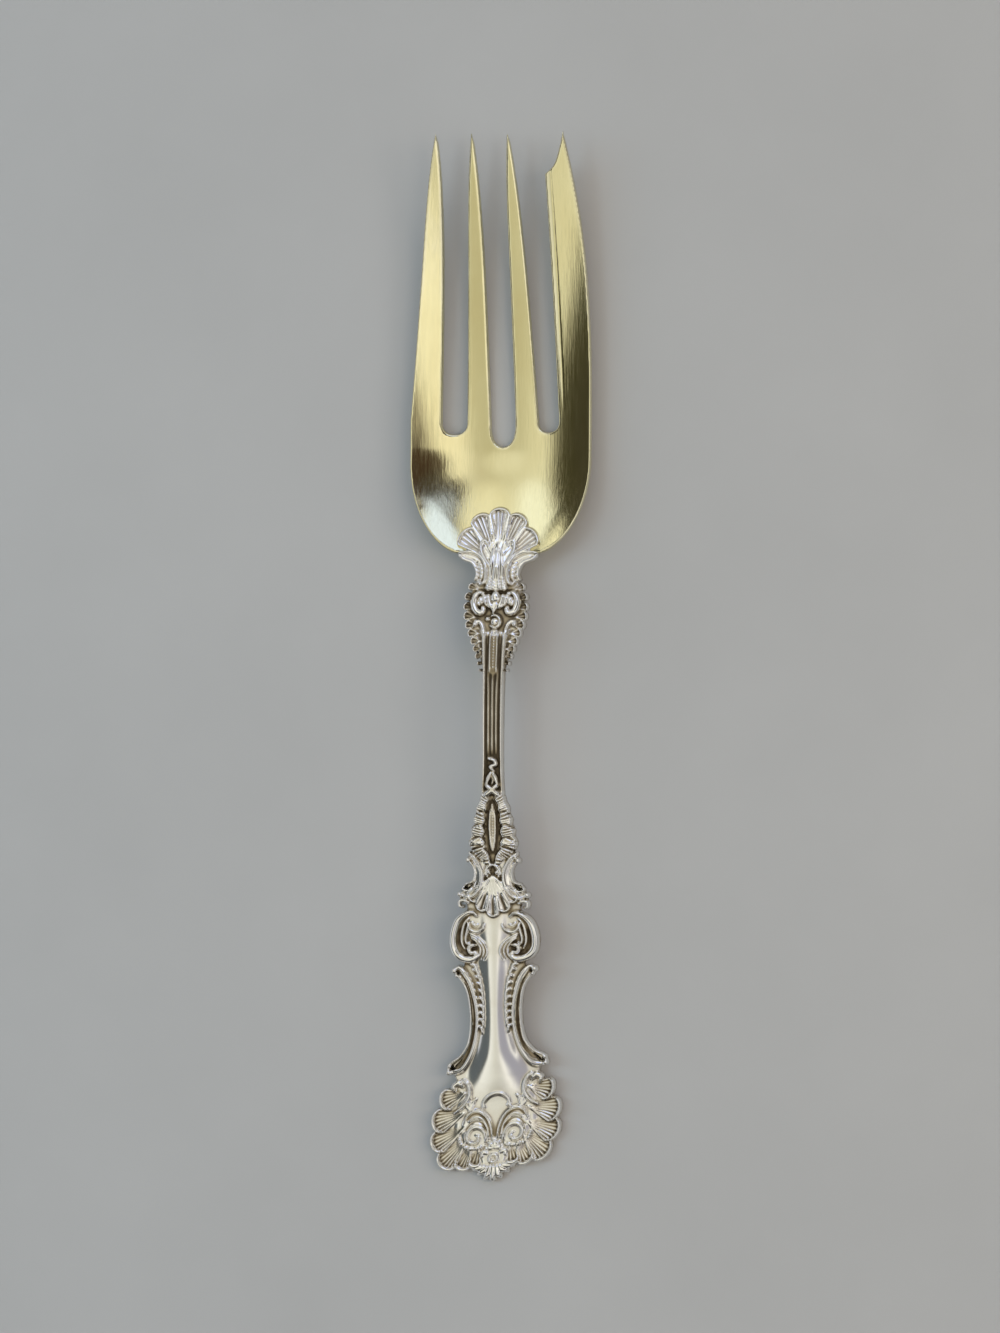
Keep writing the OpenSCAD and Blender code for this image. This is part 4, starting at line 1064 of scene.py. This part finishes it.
HANDLE_CELL = 0.142
HANDLE_GRID_HALF = 15.6
WAIST_ROW = 0.22
STEM_ROW = 0.4
# Steps between the rows of the handle's grid: fine under ornament, coarse where lines only run along it
ROW_STEPS = [
    (Y_TERMINAL, HANDLE_CELL),
    (Y_TERMINAL + 3, WAIST_ROW),
    (Y_WAIST - 2, WAIST_ROW),
    (Y_WAIST, HANDLE_CELL),
    (Y_RIBBON, HANDLE_CELL),
    (Y_RIBBON + 1, STEM_ROW),
    (Y_STEM - 1, STEM_ROW),
    (Y_STEM, HANDLE_CELL),
]
FIRST_ROW = Y_END - 0.8
LAST_ROW = Y_NECK + 14.5
EDGE_ROUND = 0.42
BACK_STEP = 0.9
BACK_ROUND = 0.9
# Smoothing of the relief in cells, and the reach in cells and weight of creases and hollows with tarnish
SOFTNESS = 0.7
CREASES = (2.5, 2.1)
HOLLOWS = (8, 0.9)
# Share of the tarnish that polishing leaves, along the handle
TARNISH_KEPT = [(Y_END, 0.62), (Y_TERMINAL, 0.7), (Y_WAIST, 1.0), (Y_NECK - 4, 1.0), (Y_NECK + 2, 0.6),
                (Y_HEEL + 15, 0.6)]
RIM_PATINA = 0.35
BACK_PATINA = 0.12
ORNAMENTS = (
    stem, heel_shell, neck_cuff, crossed_ribbons, small_fan, scrolled_bosses, panel_scrolls, shell_end)


def row_places():
    places = [FIRST_ROW]
    while places[-1] < LAST_ROW:
        places.append(places[-1] + np.interp(places[-1], *zip(*ROW_STEPS)))
    return np.array(places)


def make_handle(material):
    xs = np.arange(-HANDLE_GRID_HALF, HANDLE_GRID_HALF, HANDLE_CELL)
    ys = row_places()
    relief = Relief(xs, ys)
    for ornament in ORNAMENTS:
        ornament(relief)
    height = blurred(relief.height, SOFTNESS)
    tarnish = blurred(relief.tint, 1)
    for reach, weight in (CREASES, HOLLOWS):
        tarnish = tarnish + weight * (blurred(height, reach) - height)
    patina = np.clip(tarnish * along(TARNISH_KEPT, relief.v), 0, 1)
    points, faces, outline, base, used, within = plan_mesh(xs, ys, relief.inside, height, HANDLE_CELL / 2)
    u, v, lift, patina = (field.ravel()[used] for field in (relief.u, relief.v, height, patina))
    top = between(handle_rim(u, v), handle_face(u, v) + lift, rounded(within / EDGE_ROUND))
    rim = handle_rim(*unturned(*points[base:].T))
    inner, depth, back_faces = coarse_back(points, outline, base, xs, ys, relief.inside, BACK_STEP)
    u, v = unturned(*inner.T)
    back = between(handle_rim(u, v), handle_back(u, v), rounded(depth / BACK_ROUND))
    heights = np.maximum(np.concatenate([top, rim, back]), 0)
    vertices = np.column_stack([np.vstack([points, inner]), heights])
    tone = np.concatenate([patina, np.full(len(rim), RIM_PATINA), np.full(len(back), BACK_PATINA)])
    every = np.vstack([faces, back_faces[:, ::-1]])
    return make_object("handle_struck", vertices, every, material, patina=tone)


# The head

HEAD_CELL = 0.19
HEAD_ROW = 0.33
TINE_TIPS = (-13.9, -6.1, 1.75, 14.0)
SLOT_WIDTH = 5.3
MIDDLE_TINE_WIDTH = 5.35
SLOT_DIPS = (2.9, 5.6, 2.5)
BARB_WIDTH = 6.2
BARB_LENGTH = 9.0
# Narrowing of a tine along its length and at its point, as shares of its half width
TINE_TAPER = 0.5
TINE_POINT = 0.44
# Bend of the slots' round bottoms, and of the cutting tine's outer side
SLOT_BEND = 0.7
OUTER_BEND = 2.6
TONGUE_TOP = Y_HEEL - HEEL_LENGTH * 0.8
SLOT_RIGHT = SLOT_WIDTH * 1.5 + MIDDLE_TINE_WIDTH
TINE_ROOTS = (
    (-HEAD_HALF, -SLOT_RIGHT),
    (-SLOT_WIDTH / 2 - MIDDLE_TINE_WIDTH, -SLOT_WIDTH / 2),
    (SLOT_WIDTH / 2, SLOT_WIDTH / 2 + MIDDLE_TINE_WIDTH),
    (SLOT_RIGHT - SLOT_WIDTH * 0.15, HEAD_HALF),
)


def tine_side(i, side, t):
    left, right = TINE_ROOTS[i]
    middle = between((left + right) / 2, TINE_TIPS[i], t)
    half = (right - left) / 2 * (1 - TINE_TAPER * t - TINE_POINT * t**6)
    return np.column_stack([middle + side * half, Y_ROOT + t * TINE_LENGTH])


def slot_bottom(i):
    left, right = TINE_ROOTS[i][1], TINE_ROOTS[i + 1][0]
    a = np.linspace(0, math.pi, 26)[1:-1]
    x = between(left, right, (1 - np.cos(a)) / 2)
    return np.column_stack([x, Y_ROOT - SLOT_DIPS[i] * np.sin(a) ** SLOT_BEND])


def head_lines():
    """The outline of the head as runs of points: round the outside, and the inner sides of the slots."""
    t = np.linspace(0, 1, 30)
    cut_left, cut_right = TINE_ROOTS[3]
    outer = np.column_stack([between(cut_right, TINE_TIPS[3], t**OUTER_BEND), Y_ROOT + t * TINE_LENGTH])
    barb_share = 1 - BARB_LENGTH / TINE_LENGTH
    barb_side = between(cut_right, TINE_TIPS[3], barb_share**OUTER_BEND)
    barb = np.array([barb_side - BARB_WIDTH, Y_TIP - BARB_LENGTH])
    tip = np.array([TINE_TIPS[3], Y_TIP])
    notch = curve([barb, between(barb, tip, 0.35) + (BARB_WIDTH * 0.1, -BARB_LENGTH * 0.13),
                   between(barb, tip, 0.7) + (BARB_WIDTH * 0.07, -BARB_LENGTH * 0.07), tip], 6)
    a = np.radians(np.linspace(0, 90, 24))
    heel_half = SHELL_RADIUS * 0.78
    shoulder = np.column_stack([between(heel_half, HEAD_HALF, np.sin(a) ** 1.2),
                                SHOULDER_TOP - SHOULDER_LENGTH * np.cos(a)])
    cutting = np.array([barb, (cut_left, Y_ROOT)])
    runs = [[(TONGUE_HALF, TONGUE_TOP)], shoulder, outer[:-1], notch[::-1], cutting[1:]]
    inner_sides = []
    for i in (2, 1, 0):
        slot = slot_bottom(i)[::-1]
        right_side = tine_side(i, 1, t[:-1])
        left_side = tine_side(i, -1, t[::-1])
        runs += [slot, right_side, left_side]
        inner_sides += [right_side, left_side] if i else [right_side]
        inner_sides.append(slot)
    runs += [(shoulder * (-1, 1))[::-1], [(-TONGUE_HALF, TONGUE_TOP)]]
    return np.vstack(runs), inner_sides, cutting


INNER_BEVEL = (0.6, 0.14)
# The cutting edge is set off by a fine line: its distance from the edge, half width and depth
CUTTING_LINE = (1.4, 0.3, 0.035)
HEAD_ROUND = 0.35
# Width of the rubbed rim, and how much of the gold is rubbed off there, and paled on the cutting edge by
# wear with a painted highlight
WORN_RIM = 1.2
WEAR_AND_HIGHLIGHT = 0.35
TONGUE_BEND = 2.0
# Where the bevels of the tines fade in, and the cutting edge's wear with its painted highlight
BEVEL_RUN = (Y_ROOT - 2, Y_ROOT + 14)
EDGE_WEAR_AND_HIGHLIGHT_RUN = (Y_ROOT, Y_ROOT + 9)


def tongue_middle(y):
    slope = (along(SPINE, Y_HEEL - TONGUE_LENGTH) - along(SPINE, Y_HEEL)) / TONGUE_LENGTH
    return along(SPINE, Y_HEEL) + (Y_HEEL - y) * slope


def make_head(material):
    polygon, inner_sides, cutting = head_lines()
    xs = np.arange(-HEAD_HALF - 1, HEAD_HALF + 1, HEAD_CELL)
    ys = np.arange(Y_HEEL - TONGUE_LENGTH - 1, Y_TIP + 1, HEAD_ROW)
    x, y = np.meshgrid(xs, ys)
    tongue = np.minimum(TONGUE_HALF - np.abs(x), np.minimum(y - (Y_HEEL - TONGUE_LENGTH), Y_HEEL - y))
    inside = np.maximum(within_polygon(polygon, x, y), tongue)
    drop = np.zeros_like(x)
    on_tines = smooth_step(y, *BEVEL_RUN)
    wide, deep = INNER_BEVEL
    for path in inner_sides:
        drop = np.maximum(drop, deep * np.clip(1 - to_path(path, x, y)[0] / wide, 0, 1) * on_tines)
    line_place, line_half, line_depth = CUTTING_LINE
    to_line = to_path(cutting, x, y)[0] - line_place
    drop += line_depth * np.clip(1 - (to_line / line_half) ** 2, 0, 1) * on_tines
    points, faces, _, base, used, depth = plan_mesh(xs, ys, inside, drop, HEAD_ROW / 2)
    x, y = points.T
    at_rim = np.zeros(len(points) - base)
    within = np.concatenate([depth, at_rim])
    fall = np.concatenate([drop.ravel()[used], at_rim])
    on_tongue = smooth_step(Y_HEEL - y, 0, TONGUE_BEND)
    half = between(along(PLATE, y), TONGUE_THICKNESS, on_tongue) / 2
    middle = between(head_middle(x, y), tongue_middle(y), on_tongue)
    swell = rounded(within / HEAD_ROUND)
    top = np.maximum(middle + (half - fall) * swell, 0)
    under = np.maximum(middle - half * swell, 0)
    vertices = np.vstack([np.column_stack([points, top]), np.column_stack([points, under])[:base]])
    below = np.where(faces < base, faces + len(points), faces)[:, ::-1]
    # Paler gold along the cutting edge: wear, and a painted highlight standing in for the bevel's bright
    # reflection
    lit_rubbed_edge = 1 - smooth_step(to_path(cutting, x, y)[0], line_place - line_half, line_place)
    worn = np.maximum(1 - smooth_step(within, 0, WORN_RIM), lit_rubbed_edge * smooth_step(y, *EDGE_WEAR_AND_HIGHLIGHT_RUN))
    worn = WEAR_AND_HIGHLIGHT * np.concatenate([worn, worn[:base]])
    return make_object("head_gilt", vertices, np.vstack([faces, below]), material, worn=worn)


handle = make_handle(new_material("antique_silver", antique_silver))
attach(handle, "root")
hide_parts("handle")

head = make_head(new_material("pale_gilt", pale_gilt))
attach(head, "root")
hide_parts("fork_head")

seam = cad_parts["solder_seam"]
seam.data.materials.clear()
seam.data.materials.append(new_material("silver_solder", silver_solder))

# Floor

FLOOR_HALF = 4000

corners = FLOOR_HALF * np.array([(-1, -1, 0), (1, -1, 0), (1, 1, 0), (-1, 1, 0)])
floor = make_object("floor", corners, np.array([(0, 1, 2, 3)]), new_material("pale_floor", pale_floor))

# Light

# Sky brightness by the angle from overhead towards the right, in degrees
SKY = (
    (-90, (0.28, 0.29, 0.32)),
    (-80, (0.30, 0.32, 0.36)),
    (-76, (0.95, 0.99, 1.06)),
    (-66, (0.95, 0.99, 1.06)),
    (-60, (0.06, 0.055, 0.045)),
    (-35, (0.05, 0.047, 0.025)),
    (-30, (0.98, 0.97, 0.88)),
    (-22, (0.86, 0.85, 0.76)),
    (-8, (0.71, 0.69, 0.59)),
    (0, (0.73, 0.71, 0.63)),
    (8, (1.16, 1.12, 1.01)),
    (37, (1.18, 1.15, 1.06)),
    (42, (0.26, 0.25, 0.28)),
    (46, (0.22, 0.21, 0.24)),
    (51, (1.00, 1.00, 1.00)),
    (61, (1.00, 1.00, 1.00)),
    (68, (0.14, 0.13, 0.11)),
    (90, (0.20, 0.18, 0.15)),
)
# Low sky behind and ahead: where it starts and is full, as parts of the way to the horizon, and its colour
SKY_ENDS = (
    (-0.60, -0.80, (0.06, 0.055, 0.05)),
    (0.70, 0.92, (0.50, 0.50, 0.52)),
)
# Patches of sky: where they lie, right and ahead, the radii where they end and are full, both in degrees,
# and their colour
WINDOWS = (
    ((-8, 0), (16, 7), (0.66, 0.64, 0.53)),
    ((-12, 14), (11, 3), (0.92, 0.91, 0.83)),
    ((-6, 37), (14, 6), (1.05, 1.04, 0.95)),
    ((-26, 33), (9, 3), (1.15, 1.20, 1.25)),
    ((-46, -26), (20, 9), (0.11, 0.125, 0.13)),
    ((20, -25), (19, 8), (0.37, 0.36, 0.40)),
    ((28, 18.3), (15.8, 14.3), (0.06, 0.038, 0.026)),
    ((17, 25), (7.5, 5), (0.06, 0.05, 0.04)),
    ((10, 29), (7, 5), (0.06, 0.05, 0.04)),
    ((16, 40), (13, 9), (1.02, 1.24, 2.00)),
    ((-41, 44), (7.5, 3.5), (1.30, 1.30, 1.20)),
)


def way_to(right, ahead):
    """The way to a place in the sky, from its angles from overhead towards the right and ahead."""
    return Vector((math.tan(math.radians(right)), math.tan(math.radians(ahead)), 1)).normalized()


def make_world():
    world = bpy.data.worlds.new("studio")
    bpy.context.scene.world = world
    world.use_nodes = True
    tree = world.node_tree
    way = add(tree, "ShaderNodeTexCoord").outputs["Generated"]
    right, ahead, up = add(tree, "ShaderNodeSeparateXYZ", way).outputs
    angle = add(tree, "ShaderNodeMath", right, up, operation="ARCTAN2").outputs[0]
    share = mapped(tree, angle, -math.pi / 2, math.pi / 2)
    seen = ramp(tree, share, [((degrees + 90) / 180, colour) for degrees, colour in SKY])
    layers = [(ahead, starts, full, colour) for starts, full, colour in SKY_ENDS]
    for place, radii, colour in WINDOWS:
        nearness = add(tree, "ShaderNodeVectorMath", way, way_to(*place), operation="DOT_PRODUCT")
        starts, full = (math.cos(math.radians(radius)) for radius in radii)
        layers.append((nearness.outputs["Value"], starts, full, colour))
    for value, starts, full, colour in layers:
        share = mapped(tree, value, starts, full, interpolation_type="SMOOTHSTEP")
        mix = add(tree, "ShaderNodeMix", share, data_type="RGBA")
        feed(tree, mix.inputs[6], seen)
        feed(tree, mix.inputs[7], (*colour, 1))
        seen = mix.outputs[2]
    feed(tree, tree.nodes["Background"].inputs["Color"], seen)


LAMP_PLACE = (0.7, 0.05, 0.8)
LAMP_SIZE = (0.25, 0.8)
LAMP_POWER = 3.5


def add_lamp(name, x, colour):
    data = bpy.data.lights.new(name, "AREA")
    data.shape = "RECTANGLE"
    data.size, data.size_y = LAMP_SIZE
    data.energy = LAMP_POWER
    data.color = colour
    lamp = put(name, data)
    lamp.location = (x, *LAMP_PLACE[1:])
    lamp.visible_glossy = False
    lamp.rotation_mode = "QUATERNION"
    lamp.rotation_quaternion = (-lamp.location).to_track_quat("-Z", "Y")


make_world()
add_lamp("cool_left", -LAMP_PLACE[0], (0.62, 0.85, 1.0))
add_lamp("warm_right", LAMP_PLACE[0], (1.0, 0.84, 0.62))

# Camera: the photograph's view, from above and a little to the right

PHOTO_HEIGHT_PX = 1333
MM_PER_PX = 0.2194
CAMERA_DISTANCE = 0.8
CAMERA_YAW = math.radians(10.5)
CAMERA_ROLL = math.radians(0.38)
AIM = Vector((-0.66, -0.75, 0)) * MM
SENSOR_WIDTH = 36
CLIP_START = 0.05


def make_camera():
    data = bpy.data.cameras.new("camera")
    data.sensor_width = SENSOR_WIDTH
    data.lens = SENSOR_WIDTH * CAMERA_DISTANCE / (PHOTO_HEIGHT_PX * MM_PER_PX * MM)
    data.clip_start = CLIP_START
    camera = put("camera", data)
    camera.location = AIM + CAMERA_DISTANCE * Vector((math.sin(CAMERA_YAW), 0, math.cos(CAMERA_YAW)))
    camera.rotation_euler = (0, CAMERA_YAW, CAMERA_ROLL)
    bpy.context.scene.camera = camera


make_camera()
bpy.context.scene.view_settings.view_transform = "Standard"
